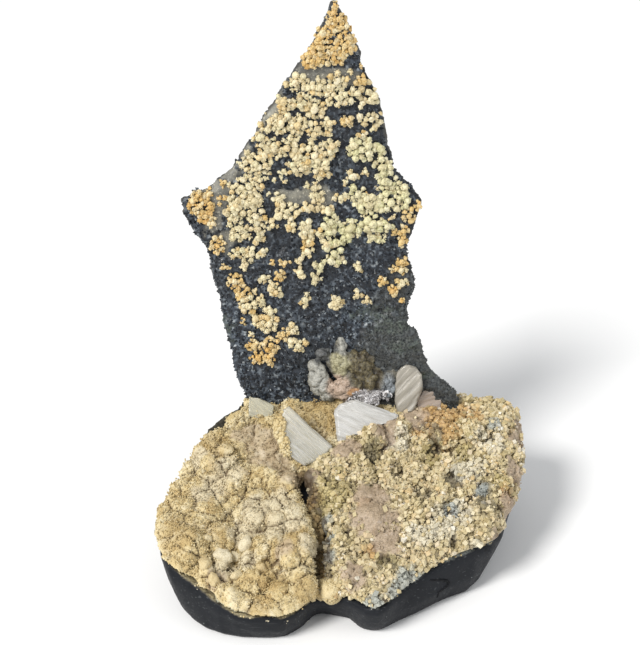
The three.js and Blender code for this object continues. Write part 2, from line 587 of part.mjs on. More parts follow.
const makeSlab = (grow) => joinAll([
  slabSolid(grow),
  ...ballPlaces().map((place) => ballSolid(place, grow)),
]);
const slab = makeSlab(0).subtract(footTool.transform(intoSlab));
const slabTool = slabSolid(CLEARANCE).transform(slabFrame.matrix.elements);
pieceOf("standing_slab", slab, "druse", slabFrame);

const leftCrust = (grow) => joinAll([
  crustSolid(LEFT_OUTLINE, leftHeight, LEFT_LUMPS, grow),
  ...crystalSolids(4, 311, LEFT_OUTLINE, leftHeight, [-68, -50, -58, -46], [6, 8]),
]);
const left = cutBy(leftCrust(0), [footTool, slabTool]);
const leftTool = leftCrust(CLEARANCE);
pieceOf("left_crust", left, "tanCalcite", specimen);

const rightCrust = (grow) => joinAll([
  crustSolid(RIGHT_OUTLINE, rightHeight, RIGHT_LUMPS, grow),
  ...crystalSolids(18, 977, RIGHT_OUTLINE, rightHeight, [-12, 104, -72, 46], [6, 10]),
]);
const right = cutBy(rightCrust(0), [footTool, slabTool]);
const rightTool = rightCrust(CLEARANCE);
pieceOf("right_crust", right, "honeyCalcite", specimen);

const crustTools = [leftTool, rightTool];
const growth = cutBy(growthSolid(0), [
  makeSlab(CLEARANCE), ...crustTools.map((tool) => tool.transform(intoSlab)),
]);
const growthTool = growthSolid(CLEARANCE).transform(slabFrame.matrix.elements);
pieceOf("slab_foot_growth", growth, "greyGrowth", slabFrame);

const grown = [...crustTools, makeSlab(CLEARANCE).transform(slabFrame.matrix.elements), growthTool];
BLADES.forEach((blade) => {
  const frame = bladeFrame(blade);
  const intoBlade = frame.matrix.clone().invert().elements;
  const tools = grown.map((tool) => tool.transform(intoBlade));
  specimen.add(frame);
  pieceOf(blade.name, cutBy(solidFrom(bladeGeometry(blade, 0)), tools), "clearCalcite", frame);
  grown.push(solidFrom(bladeGeometry(blade, CLEARANCE)).transform(frame.matrix.elements));
});

export default specimen;
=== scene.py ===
# %% [markdown]
# # A calcite specimen on its basalt foot
#
# The real object is a piece of volcanic rock that once lined a gas pocket. Hot water left quartz and
# calcite on it, layer by layer. What stands here is a cut dark foot, two thick crusts of tan calcite on
# its sloping top, an upright slab of dark quartz druse freckled with cream calcite, and a few clear
# blades of calcite where the slab and the crusts meet.
#
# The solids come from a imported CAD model, and Blender gives them their surfaces. A mineral has no
# clean edges and no two equal grains, so nearly everything here is grown in the same two steps: a
# closed skin is laid over the CAD solid and pushed in and out by a seeded pattern, and then thousands
# of small grains are set on that skin.

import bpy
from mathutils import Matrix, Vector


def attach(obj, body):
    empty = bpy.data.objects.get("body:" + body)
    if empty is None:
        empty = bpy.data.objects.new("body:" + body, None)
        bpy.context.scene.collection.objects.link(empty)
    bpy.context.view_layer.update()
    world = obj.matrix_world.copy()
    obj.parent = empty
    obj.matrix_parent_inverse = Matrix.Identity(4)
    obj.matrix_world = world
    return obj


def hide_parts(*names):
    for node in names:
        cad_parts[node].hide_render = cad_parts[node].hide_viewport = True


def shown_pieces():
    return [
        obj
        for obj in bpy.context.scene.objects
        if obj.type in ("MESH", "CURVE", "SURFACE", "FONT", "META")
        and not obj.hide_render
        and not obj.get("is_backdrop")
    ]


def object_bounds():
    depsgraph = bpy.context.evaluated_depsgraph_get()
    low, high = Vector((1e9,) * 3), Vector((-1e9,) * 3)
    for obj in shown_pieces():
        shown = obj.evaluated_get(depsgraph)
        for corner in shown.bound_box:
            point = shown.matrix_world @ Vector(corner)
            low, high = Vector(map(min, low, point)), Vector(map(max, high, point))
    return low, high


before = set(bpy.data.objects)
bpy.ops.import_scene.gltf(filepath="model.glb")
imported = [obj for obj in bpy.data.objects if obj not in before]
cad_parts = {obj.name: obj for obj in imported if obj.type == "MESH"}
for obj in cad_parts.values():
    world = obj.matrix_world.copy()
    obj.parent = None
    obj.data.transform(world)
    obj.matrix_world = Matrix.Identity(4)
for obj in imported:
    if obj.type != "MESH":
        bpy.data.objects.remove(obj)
cad_low, cad_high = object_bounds()
print("CAD box in mm:", [round(1000 * (h - l), 1) for l, h in zip(cad_low, cad_high)])

# %% The libraries
import math
from itertools import product

import bmesh
import bpy
import numpy as np
from mathutils import Vector
from mathutils.bvhtree import BVHTree

scene = bpy.context.scene
MM = 0.001
print("Blender", bpy.app.version_string, "and numpy", np.__version__)

# %% [markdown]
# ## Numbers of a mesh
#
# A vertex can be moved one by one in a Python loop, but a skin of sixty thousand vertices is quicker to
# treat as one numpy array. These helpers read the places and normals of all vertices at once, write
# them back, and store one number per vertex under a name, which a material can read later.

# %% Read and write all vertices at once
INSET = 0.00002  # metres by which every vertex stays inside the CAD box


def spots_of(mesh):
    numbers = np.empty(3 * len(mesh.vertices), np.float32)
    mesh.vertices.foreach_get("co", numbers)
    return numbers.reshape(-1, 3).astype(float)


def normals_of(mesh):
    numbers = np.empty(3 * len(mesh.vertices), np.float32)
    mesh.vertex_normals.foreach_get("vector", numbers)
    return numbers.reshape(-1, 3).astype(float)


def move_to(mesh, spots):
    inside = np.clip(spots, np.array(cad_low) + INSET, np.array(cad_high) - INSET)
    mesh.vertices.foreach_set("co", inside.astype(np.float32).ravel())
    mesh.update()


def note(mesh, name, numbers):
    layer = mesh.attributes.new(name, "FLOAT", "POINT")
    layer.data.foreach_set("value", np.asarray(numbers, np.float32))


print("the foot's CAD mesh:", len(spots_of(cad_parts["basalt_foot"].data)), "loose vertices")


# %% [markdown]
# ## Patterns of nature
#
# Two patterns carry the whole specimen. A drift is a soft noise that wanders up and down over a given
# distance, as colour and thickness do in rock. Cells are what grains and bubbles make when they grow
# against each other: every point belongs to its nearest centre, and the second nearest tells how far
# the border is. Both are worked out for whole arrays of points, from a hash of the lattice corner, so
# that the same seed always gives the same rock.

# %% A seeded number for every lattice corner
def scrambled(corners, seed):
    mixed = corners[:, 0] * 73856093 ^ corners[:, 1] * 19349663 ^ corners[:, 2] * 83492791
    mixed = (mixed ^ (seed * 2654435761)) & 0xFFFFFFFF
    for shift, factor in ((16, 0x45D9F3B), (15, 0x2C1B3C6D), (16, 0x297A2D39)):
        mixed = ((mixed ^ (mixed >> shift)) * factor) & 0xFFFFFFFF
    return (mixed ^ (mixed >> 15)) / 4294967295.0


print("numbers of two corners:", scrambled(np.array([[0, 0, 0], [1, 0, 0]]), 5).round(3))


# %% A soft noise between -1 and 1
def drift(spots, size, seed):
    scaled = np.asarray(spots) / size
    floor = np.floor(scaled).astype(np.int64)
    share = scaled - floor
    share = share * share * (3 - 2 * share)
    total = np.zeros(len(scaled))
    for corner in product((0, 1), repeat=3):
        weight = np.prod(np.where(corner, share, 1 - share), axis=1)
        total += weight * scrambled(floor + np.array(corner), seed)
    return 2 * total - 1


def rough_drift(spots, size, seed):
    return sum(drift(spots, size / 2**k, seed + k) / 2**k for k in range(3)) / 1.5


print("a drift at one spot:", drift(np.array([[0.3, 0.2, 0.1]]), 0.01, 5).round(3))


# %% Cells: distance to the nearest centre, closeness of the border, and a number for each cell
def cells(spots, size, seed):
    scaled = np.asarray(spots) / size
    floor = np.floor(scaled).astype(np.int64)
    nearest = np.full(len(scaled), 9.0)
    second = np.full(len(scaled), 9.0)
    owner = np.zeros(len(scaled))
    for step in product((-1, 0, 1), repeat=3):
        corner = floor + np.array(step)
        centre = corner + np.stack([scrambled(corner, seed + k) for k in range(3)], axis=1)
        away = np.linalg.norm(scaled - centre, axis=1)
        closer = away < nearest
        second = np.where(closer, nearest, np.minimum(second, away))
        owner = np.where(closer, scrambled(corner, seed + 7), owner)
        nearest = np.where(closer, away, nearest)
    return nearest, second - nearest, owner


def eased(value, low, high):
    share = np.clip((value - low) / (high - low), 0, 1)
    return share * share * (3 - 2 * share)


print("half of the way is eased to", eased(0.5, 0, 1), "and a tenth to", round(float(eased(0.1, 0, 1)), 3))

# %% [markdown]
# ## A skin over a CAD solid
#
# The CAD solid has large flat faces. Subdividing them would keep their long thin triangles, so the
# copy is remeshed with voxels instead: the surface becomes an even net of small squares, which every
# pattern can push equally well. A CAD mesh comes as loose triangles, so its doubles are merged first.
# Smoothing between two remeshes takes the facets off the lumps.

# %% Copy, merge and remesh
SAME_SPOT = 0.00002  # metres within which two corners are one


def merged_copy(node):
    shape = bmesh.new()
    shape.from_mesh(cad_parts[node].data)
    bmesh.ops.remove_doubles(shape, verts=shape.verts, dist=SAME_SPOT)
    mesh = bpy.data.meshes.new(node + "_copy")
    shape.to_mesh(mesh)
    shape.free()
    return mesh


def remeshed(mesh, voxel):
    block = bpy.data.objects.new("block", mesh)
    scene.collection.objects.link(block)
    voxels = block.modifiers.new("voxels", "REMESH")
    voxels.mode = "VOXEL"
    voxels.voxel_size = voxel
    voxels.use_smooth_shade = True
    finished = block.evaluated_get(bpy.context.evaluated_depsgraph_get())
    skin = bpy.data.meshes.new_from_object(finished)
    bpy.data.objects.remove(block)
    bpy.data.meshes.remove(mesh)
    return skin


blade_copy = merged_copy("long_blade")
print("the long blade, its doubles merged:", len(blade_copy.vertices), "vertices")
bpy.data.meshes.remove(blade_copy)


# %% Smooth numbers over the net
def edges_of(mesh):
    ends = np.empty(2 * len(mesh.edges), np.int32)
    mesh.edges.foreach_get("vertices", ends)
    return ends.reshape(-1, 2)


def averaged(mesh, numbers, rounds):
    ends = edges_of(mesh)
    count = len(mesh.vertices)
    degree = np.bincount(ends.ravel(), minlength=count)[:, None]
    current = numbers.copy()
    for _ in range(rounds):
        total = np.zeros_like(current)
        for axis in range(current.shape[1]):
            total[:, axis] = np.bincount(ends[:, 0], current[ends[:, 1], axis], count)
            total[:, axis] += np.bincount(ends[:, 1], current[ends[:, 0], axis], count)
        current = 0.5 * current + 0.5 * total / np.maximum(degree, 1)
    return current


def skin_of(node, coarse, fine, rounds):
    mesh = remeshed(merged_copy(node), coarse)
    move_to(mesh, averaged(mesh, spots_of(mesh), rounds))
    return remeshed(mesh, fine)


print("edges of the long blade's CAD mesh:", len(edges_of(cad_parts["long_blade"].data)))


# %% Distances to a CAD node
def tree_of(mesh):
    return BVHTree.FromPolygons(
        [v.co[:] for v in mesh.vertices], [face.vertices[:] for face in mesh.polygons]
    )


def nearness(spots, node, reach):
    """Distance in millimetres from each spot to a CAD node, never more than reach."""
    tree = tree_of(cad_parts[node].data)
    found = [tree.find_nearest(Vector(spot), reach * MM) for spot in spots]
    return np.array([reach if hit[3] is None else hit[3] / MM for hit in found])


inside_foot = nearness(np.array([[0, 0, 30 * MM]]), "basalt_foot", 60)
print("a spot 30 mm above the origin lies", inside_foot.round(1), "mm from the foot's surface")

# %% [markdown]
# ## Triangles where they count
#
# A stone's underside and the faces where two pieces lie on each other are never seen, yet the even net
# spends as many triangles there as on the front. Deleting them would open the shape. Decimate with a
# vertex group thins only the marked region and keeps the piece closed. The mark is averaged over the
# net first, so that it stops short of its own border and the visible edge keeps its fine net.

# %% Fewer triangles in a hidden region
def thinned(mesh, hidden, share):
    inner = averaged(mesh, hidden.astype(float)[:, None], 6)[:, 0] > 0.97
    block = bpy.data.objects.new("block", mesh)
    scene.collection.objects.link(block)
    group = block.vertex_groups.new(name="hidden")
    group.add(np.flatnonzero(inner).tolist(), 1.0, "REPLACE")
    fewer = block.modifiers.new("fewer", "DECIMATE")
    fewer.vertex_group = "hidden"
    fewer.ratio = 1 - (1 - share) * float(inner.mean())
    finished = block.evaluated_get(bpy.context.evaluated_depsgraph_get())
    lighter = bpy.data.meshes.new_from_object(finished)
    print("thinned from", len(mesh.vertices), "to", len(lighter.vertices), "vertices")
    bpy.data.objects.remove(block)
    bpy.data.meshes.remove(mesh)
    return lighter


print("hidden regions lose triangles with Decimate, on the vertex group hidden")

# %% [markdown]
# ## Where a surface is sunk
#
# Shade falls in creases, and on the crusts dust and iron gather there too. A renderer can find the
# shade with an ambient occlusion node, but an exported model loses that, so here it is painted into the
# colour. Each vertex is compared with the average of its surroundings: where the average lies further
# out along the normal, the vertex is in a hollow.

# %% How deep each vertex lies
def hollowness(mesh, rounds, depth):
    """0 on the flat, 1 in a crack as deep as the given depth, and below 0 on a ridge."""
    spots = spots_of(mesh)
    sunk = averaged(mesh, spots, rounds) - spots
    return np.clip((sunk * normals_of(mesh)).sum(axis=1) / depth, -1, 1)


blade_copy = merged_copy("long_blade")
print("hollowness at the long blade's corners:", hollowness(blade_copy, 1, 2 * MM)[:4].round(2))
bpy.data.meshes.remove(blade_copy)


# %% [markdown]
# ## Many small grains in one mesh
#
# Grains are too many to be objects. One grain is made with a bmesh operator, and its vertices are
# multiplied by an array of places, turns and sizes into one joined mesh. Each grain also writes a
# number of its own, so that a material can tint it without any image.

# %% Grain shapes
def grain_numbers(shape):
    bmesh.ops.triangulate(shape, faces=shape.faces)
    corners = np.array([v.co[:] for v in shape.verts])
    shape.verts.index_update()
    faces = np.array([[v.index for v in f.verts] for f in shape.faces])
    shape.free()
    return corners, faces


def ball_grain(divisions, roughness, seed):
    shape = bmesh.new()
    bmesh.ops.create_icosphere(shape, subdivisions=divisions, radius=1.0)
    corners, faces = grain_numbers(shape)
    push = 1 + roughness * drift(corners, 0.55, seed)[:, None]
    return corners * push, faces


def speck_grain():
    shape = bmesh.new()
    bmesh.ops.create_uvsphere(shape, u_segments=4, v_segments=2, radius=1.0)
    return grain_numbers(shape)


def block_grain(shear):
    shape = bmesh.new()
    bmesh.ops.create_cube(shape, size=2.0)
    corners, faces = grain_numbers(shape)
    corners[:, 0] += shear * corners[:, 2]
    corners[:, 1] += 0.6 * shear * corners[:, 2]
    return corners, faces


def point_grain(sides, height):
    shape = bmesh.new()
    bmesh.ops.create_cone(shape, cap_ends=True, segments=sides, radius1=1.0, radius2=0.0, depth=height)
    return grain_numbers(shape)


for kind, grain in (("ball", ball_grain(1, 0.2, 1)), ("speck", speck_grain()), ("block", block_grain(0.25))):
    print("a", kind, "has", len(grain[1]), "triangles")


# %% Random turns, and turns that face along a normal
def random_turns(dice, count):
    quats = dice.normal(size=(count, 4))
    quats /= np.linalg.norm(quats, axis=1)[:, None]
    w, x, y, z = quats.T
    return np.stack([
        1 - 2 * (y * y + z * z), 2 * (x * y - z * w), 2 * (x * z + y * w),
        2 * (x * y + z * w), 1 - 2 * (x * x + z * z), 2 * (y * z - x * w),
        2 * (x * z - y * w), 2 * (y * z + x * w), 1 - 2 * (x * x + y * y),
    ], axis=1).reshape(-1, 3, 3)


def facing_turns(dice, normals, spread):
    up = normals + spread * dice.normal(size=normals.shape)
    up /= np.linalg.norm(up, axis=1)[:, None]
    side = np.cross(up, dice.normal(size=up.shape))
    side /= np.linalg.norm(side, axis=1)[:, None]
    return np.stack([side, np.cross(up, side), up], axis=2)


test_turn = random_turns(np.random.default_rng(1), 1)
print("a turn neither stretches nor mirrors, its determinant is", np.linalg.det(test_turn).round(6))


# %% Join grains into one mesh
def joined_grains(name, parts, smooth):
    """parts is a list of (grain, places, turns, sizes, {attribute: one number per grain})."""
    corners, faces, notes = [], [], {}
    offset = 0
    for (shape, triangles), places, turns, sizes, numbers in parts:
        sized = np.asarray(sizes, float)
        sized = sized[:, None] if sized.ndim == 1 else sized
        placed = np.einsum("nij,nkj->nki", turns, shape[None] * sized[:, None, :]) + places[:, None]
        count, each = placed.shape[:2]
        corners.append(placed.reshape(-1, 3))
        steps = offset + each * np.arange(count)[:, None, None]
        faces.append((triangles[None] + steps).reshape(-1, 3))
        offset += count * each
        for key, value in numbers.items():
            notes.setdefault(key, []).append(np.repeat(value, each))
    corners = np.concatenate(corners)
    faces = np.concatenate(faces)
    mesh = bpy.data.meshes.new(name)
    mesh.vertices.add(len(corners))
    mesh.loops.add(3 * len(faces))
    mesh.polygons.add(len(faces))
    mesh.loops.foreach_set("vertex_index", faces.astype(np.int32).ravel())
    mesh.polygons.foreach_set("loop_start", np.arange(0, 3 * len(faces), 3, dtype=np.int32))
    mesh.polygons.foreach_set("use_smooth", np.full(len(faces), smooth))
    move_to(mesh, corners)
    mesh.update(calc_edges=True)
    for key, value in notes.items():
        note(mesh, key, np.concatenate(value))
    return mesh


two_specks = (speck_grain(), np.zeros((2, 3)), np.stack([np.eye(3)] * 2), np.full(2, MM), {})
test_mesh = joined_grains("two_specks", [two_specks], smooth=True)
print("two specks joined:", len(test_mesh.polygons), "triangles")
bpy.data.meshes.remove(test_mesh)


# %% Put a finished mesh in the scene
def show(name, mesh, material, slot, *nodes):
    piece = bpy.data.objects.new(name, mesh)
    scene.collection.objects.link(piece)
    mesh.materials.clear()
    mesh.materials.append(material)
    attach(piece, "root")
    if nodes:
        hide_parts(*nodes)
    triangles = sum(len(face.vertices) - 2 for face in mesh.polygons)
    print(f"{name}: {triangles} triangles")


# %% [markdown]
# ## Shared effects of the materials
#
# All minerals here share two effects. Grit is fine noise in three sizes, which varies a colour and
# raises a small bump. The second is painted shade: a second group mixes a dark colour into any colour
# where the mesh says that the surface is sunk, and on the crusts that colour is brown for dust and iron
# as well. Both are node groups, built once and placed in each material with its own values.

# %% Links, groups and mixed colours
def wire(tree, source, target):
    tree.links.new(source, target)


def new_group(name, inputs, outputs):
    group = bpy.data.node_groups.new(name, "ShaderNodeTree")
    for label, kind, value in inputs:
        socket = group.interface.new_socket(label, in_out="INPUT", socket_type=kind)
        socket.default_value = value
    for label, kind in outputs:
        group.interface.new_socket(label, in_out="OUTPUT", socket_type=kind)
    return group, group.nodes.new("NodeGroupInput"), group.nodes.new("NodeGroupOutput")


def mixed_colour(tree, share, first, second):
    mix = tree.nodes.new("ShaderNodeMix")
    mix.data_type = "RGBA"
    for socket, value in ((mix.inputs[0], share), (mix.inputs[6], first), (mix.inputs[7], second)):
        if isinstance(value, bpy.types.NodeSocket):
            wire(tree, value, socket)
        elif isinstance(value, tuple):
            socket.default_value = (*value, 1)
        else:
            socket.default_value = value
    return mix.outputs[2]


print("node helpers: wire, new_group, mixed_colour")


# %% Sums, ranges and tints
def combined(tree, operation, *values):
    sum_node = tree.nodes.new("ShaderNodeMath")
    sum_node.operation = operation
    for socket, value in zip(sum_node.inputs, values):
        if isinstance(value, bpy.types.NodeSocket):
            wire(tree, value, socket)
        else:
            socket.default_value = value
    return sum_node.outputs[0]


def ranged(tree, value, low, high, to_low=0.0, to_high=1.0):
    node = tree.nodes.new("ShaderNodeMapRange")
    for socket, number in zip(node.inputs[1:5], (low, high, to_low, to_high)):
        socket.default_value = number
    wire(tree, value, node.inputs[0])
    return node.outputs[0]


def tinted(tree, base, mask, amount, colour):
    """The base with a colour laid over it where the mask says so, up to the given amount."""
    return mixed_colour(tree, combined(tree, "MULTIPLY", mask, amount), base, colour)


print("more node helpers: combined, ranged, tinted")

# %% The grit group: fine noise in three sizes on Object coordinates
grit, grit_in, grit_out = new_group(
    "grit",
    [("Size", "NodeSocketFloat", 500.0)],
    [("Patches", "NodeSocketFloat"), ("Grains", "NodeSocketFloat"), ("Height", "NodeSocketFloat")],
)
grit_place = grit.nodes.new("ShaderNodeTexCoord")
grit_layers = []
for ratio, detail in ((0.08, 3.0), (1.0, 2.0), (2.6, 1.0)):
    scale = combined(grit, "MULTIPLY", grit_in.outputs[0], ratio)
    layer = grit.nodes.new("ShaderNodeTexNoise")
    layer.inputs["Detail"].default_value = detail
    wire(grit, grit_place.outputs["Object"], layer.inputs["Vector"])
    wire(grit, scale, layer.inputs["Scale"])
    grit_layers.append(layer.outputs[0])
wire(grit, ranged(grit, grit_layers[0], 0.3, 0.7), grit_out.inputs[0])
wire(grit, ranged(grit, grit_layers[1], 0.3, 0.7), grit_out.inputs[1])
wire(grit, combined(grit, "MULTIPLY_ADD", grit_layers[2], 0.4, grit_layers[1]), grit_out.inputs[2])
print("grit has", len(grit.nodes), "nodes")

# %% The group of painted shade: a dark colour, with dust on the crusts, where the surface is sunk
hollow_shade_and_dust, hollow_shade_in, hollow_shade_out = new_group(
    "hollow_shade_and_dust",
    [("Colour", "NodeSocketColor", (1, 1, 1, 1)), ("Grime", "NodeSocketColor", (0.1, 0.06, 0.03, 1)),
     ("Hollow", "NodeSocketFloat", 0.0), ("Amount", "NodeSocketFloat", 1.0)],
    [("Colour", "NodeSocketColor")],
)
# painted shade: the hollow number mixes the dark colour into the colour
hollow_shade_share = combined(hollow_shade_and_dust, "MULTIPLY", ranged(hollow_shade_and_dust, hollow_shade_in.outputs[2], 0.0, 0.8), hollow_shade_in.outputs[3])
hollow_shade_mix = mixed_colour(hollow_shade_and_dust, hollow_shade_share, hollow_shade_in.outputs[0], hollow_shade_in.outputs[1])
wire(hollow_shade_and_dust, hollow_shade_mix, hollow_shade_out.inputs[0])
print("node groups:", [group.name for group in bpy.data.node_groups])

# %% [markdown]
# ## Parts of a material
#
# A mineral's colour is built up like paint: a ramp gives every cell or grain its own step, then one
# tint after another is laid over it where a patch, a noise or a hollow says so. These helpers keep each
# such layer on one line. Values that are the same all over a piece go straight onto the shader.


# %% A material with its Principled shader, and what it reads
def new_material(name, **constants):
    material = bpy.data.materials.new(name)
    material.use_nodes = True
    shader = material.node_tree.nodes["Principled BSDF"]
    for label, value in constants.items():
        shader.inputs[label.replace("_", " ")].default_value = value
    return material, material.node_tree, shader


def read_number(tree, name):
    reader = tree.nodes.new("ShaderNodeAttribute")
    reader.attribute_name = name
    return reader.outputs["Fac"]


def placed_group(tree, group, **values):
    node = tree.nodes.new("ShaderNodeGroup")
    node.node_tree = group
    for label, value in values.items():
        if isinstance(value, bpy.types.NodeSocket):
            wire(tree, value, node.inputs[label])
        else:
            node.inputs[label].default_value = value
    return node


print("material helpers: new_material, read_number, placed_group")


# %% Ramps, bumps and hollows
def colour_steps(tree, share, steps):
    ramp = tree.nodes.new("ShaderNodeValToRGB")
    while len(ramp.color_ramp.elements) < len(steps):
        ramp.color_ramp.elements.new(0.5)
    for element, (position, colour) in zip(ramp.color_ramp.elements, steps):
        element.position = position
        element.color = (*colour, 1)
    wire(tree, share, ramp.inputs[0])
    return ramp.outputs[0]


def raised(tree, shader, height, distance, strength=1.0):
    bump = tree.nodes.new("ShaderNodeBump")
    bump.inputs["Distance"].default_value = distance
    bump.inputs["Strength"].default_value = strength
    wire(tree, height, bump.inputs["Height"])
    wire(tree, bump.outputs[0], shader.inputs["Normal"])


def shade_hollows(tree, shader, colour, shade_and_dust_colour, amount):
    """Paint shade, on the crusts with dust and iron in it, into the hollows and lead the result to the
    shader.
    """
    hollow = read_number(tree, "hollow")
    sunk = placed_group(tree, hollow_shade_and_dust, Colour=colour, Grime=(*shade_and_dust_colour, 1), Hollow=hollow, Amount=amount)
    wire(tree, sunk.outputs[0], shader.inputs["Base Color"])


print("more material helpers: colour_steps, raised, grimy")


# %% [markdown]
# ## The slab's own directions
#
# The slab leans back by 8 degrees, so heights and distances on it are easier in directions of its
# own: across its face, up its face, and out towards the viewer. The millimetres used for every ball
# and patch below are measured in these directions from the point where the slab meets the crusts.

# %% From the part's directions to the slab's and back
SLAB_FOOT = np.array([-2.8, 47.0, 77.0]) * MM  # where the face meets the crusts, at across 0 and up 0
LEAN = math.radians(8)
SLAB_AXES = np.array([
    [1, 0, 0],
    [0, -math.cos(LEAN), math.sin(LEAN)],
    [0, math.sin(LEAN), math.cos(LEAN)],
])


def on_slab(spots):
    across, out, up = ((np.asarray(spots) - SLAB_FOOT) @ SLAB_AXES.T / MM).T
    return across, out, up


def off_slab(across, out, up):
    return SLAB_FOOT + np.stack([across, out, up], axis=-1) * MM @ SLAB_AXES


print("the slab's foot comes back as", off_slab(*on_slab(SLAB_FOOT[None])).round(4))

# %% [markdown]
# ## Bare skin of the slab
#
# In the CAD model the largest calcite balls are fused to the slab, which keeps its outline true. Here
# every ball becomes its own cluster of grains, so the slab's skin first loses those balls. The face is
# read as a map of heights, a low value is taken around each place, and whatever stands above it is
# pressed back. The second remesh then heals the net where it was pressed.

# %% Press the fused balls back into the face
SLAB_COARSE, SLAB_VOXEL = 1.3 * MM, 0.91 * MM
MAP_STEP, MAP_REACH = 3.0, 4  # millimetres in a square of the map, and squares looked at on each side
LOW_PERCENT = 32  # how far up its surroundings' heights the bare face lies
KEPT_BEHIND = 0.35  # share of the triangles that stays on the slab's back


def bare_slab():
    mesh = remeshed(merged_copy("standing_slab"), SLAB_COARSE)
    across, out, up = on_slab(spots_of(mesh))
    facing = normals_of(mesh) @ SLAB_AXES[1]
    step, reach = MAP_STEP, MAP_REACH
    column = np.round((across - across.min()) / step).astype(int) + reach
    row = np.round((up - up.min()) / step).astype(int) + reach
    heights = np.full((row.max() + reach + 1, column.max() + reach + 1), np.nan)
    front = facing > 0.5
    order = np.argsort(out[front])[::-1]
    heights[row[front][order], column[front][order]] = out[front][order]
    windows = np.lib.stride_tricks.sliding_window_view(heights, (2 * reach + 1, 2 * reach + 1))
    windows = windows.reshape(*windows.shape[:2], -1)
    filled = np.isfinite(windows).any(axis=2)
    low = np.full(windows.shape[:2], np.inf)
    low[filled] = np.nanpercentile(windows[filled], LOW_PERCENT, axis=1)
    limit = low[row - reach, column - reach] + 0.5
    pressed = np.minimum(out, limit)
    print("pressed back", int((pressed < out - 0.8).sum()), "of", len(out), "vertices")
    move_to(mesh, off_slab(across, pressed, up))
    move_to(mesh, averaged(mesh, spots_of(mesh), 2))
    return remeshed(mesh, SLAB_VOXEL)


slab_mesh = bare_slab()
slab_mesh = thinned(slab_mesh, normals_of(slab_mesh) @ SLAB_AXES[1] < -0.3, KEPT_BEHIND)
print("slab skin:", len(slab_mesh.vertices), "vertices")

# %% [markdown]
# ## Zones of the slab
#
# The face isn't the same all over. Dark quartz druse covers most of it. Along the upper left edge, on
# the left spur and in a band below the tip, a smooth layer of grey-brown chalcedony shows instead. The
# lowest right part is a darker, finer druse that stands out as a ledge, and the druse above it is
# darker too. An image could paint such zones, but it would have to be made first and would be flat.
# Here each zone is a list of soft round patches with a ragged border, given as across, up, half width
# and half height in millimetres, and each becomes one number per vertex.

# %% Patches with ragged borders
def patch(across, up, places, ragged, seed):
    flat = np.stack([across, up, 0 * up], axis=1)
    wobble = ragged * (rough_drift(flat, 9.0, seed) + 0.6 * drift(flat, 2.4, seed + 5))
    cover = np.zeros(len(across))
    for x, y, wide, high in places:
        away = np.hypot((across - x) / wide, (up - y) / high)
        cover = np.maximum(cover, eased(-(away + wobble), -1.25, -0.75))
    return cover


CHALCEDONY = [
    [-22, 199, 5, 5], [-16, 192, 14, 5], [2, 191, 12, 4], [-38, 172, 5, 8], [-36, 184, 4, 8],
    [-45, 163, 4, 6], [-55, 151, 5, 5], [-64, 138, 8, 6], [-70, 122, 8, 12], [-72, 108, 7, 8],
    [-66, 96, 7, 7], [-30, 122, 9, 5], [-12, 122, 10, 6],
]
DARK_LEDGE = [[34, 26, 26, 24], [52, 2, 20, 24], [30, -8, 40, 12]]
SHADED_DRUSE = [[38, 60, 18, 26], [46, 84, 9, 14]]
GREENISH = [[22, 52, 16, 5], [38, 34, 12, 4], [-66, 40, 5, 12], [30, 44, 12, 4], [46, 14, 8, 3]]
print("patches of chalcedony:", len(CHALCEDONY), "and of darker druse:", len(DARK_LEDGE + SHADED_DRUSE))

# %% The zones of the slab as numbers on its vertices
across, _, up = on_slab(spots_of(slab_mesh))
smooth_zone = 0.92 * patch(across, up, CHALCEDONY, 0.5, 31)
dark_zone = patch(across, up, DARK_LEDGE, 0.2, 47)
shaded_zone = np.maximum(dark_zone, 0.75 * patch(across, up, SHADED_DRUSE, 0.35, 59))
green_zone = patch(across, up, GREENISH, 0.35, 53)
face = eased(normals_of(slab_mesh) @ SLAB_AXES[1], -0.1, 0.5)
print("share of the slab's face that is smooth:", round(float((smooth_zone * face).sum() / face.sum()), 3))

# %% [markdown]
# ## The slab's relief
#
# The face gets a broad swell, lumps of three to four millimetres and points of half that, all but flat
# where the chalcedony is, and three faint ledges that run across it. The dark ledge stands out by more
# than a millimetre, and a notch in the right edge parts it from the druse above. The back carries no
# crystals: it is plain rock with wide shallow flakes, as where it was broken off its pocket's wall.

# %% Grow the slab's surface
LEDGES = ((92, 0.10, 1.0), (141, -0.05, 0.7), (51, 0.04, 1.2))  # height, slope and depth in millimetres
slab_spots = spots_of(slab_mesh)
slab_normals = normals_of(slab_mesh)
broad = 1.1 * rough_drift(slab_spots, 13 * MM, 61)
lumps, _, lump_owner = cells(slab_spots, 3.4 * MM, 71)
points, _, point_owner = cells(slab_spots, 1.7 * MM, 83)
druse_height = 0.85 * (0.55 - lumps**2) + 0.4 * (0.5 - points) + 0.6 * (lump_owner - 0.5)
druse_height = druse_height + dark_zone * (1.5 + 0.9 * rough_drift(slab_spots, 5 * MM, 97))
_, flake_border, flake_owner = cells(slab_spots * [1, 0.6, 1], 12 * MM, 101)
back_height = 1.2 * rough_drift(slab_spots, 7 * MM, 91) + 0.5 * (0.5 - points)
back_height = back_height + 1.6 * (flake_owner - 0.5) - 0.6 * eased(-flake_border, -0.10, 0.0)
rocky = np.where(face > 0.02, druse_height * (1 - 0.7 * smooth_zone) + broad, broad + back_height)
ledges = 0.0
for height, slope, depth in LEDGES:
    ledges = ledges + depth * (eased(up - height - slope * across, -1.0, 1.0) - 0.5) * face
notch = 3.2 * np.exp(-(((up - 44.5) / 1.9) ** 2)) * eased(across, 30, 37) * (1 - 0.5 * face)
ledges = ledges + notch
move_to(slab_mesh, slab_spots + slab_normals * ((rocky - ledges) * MM)[:, None])
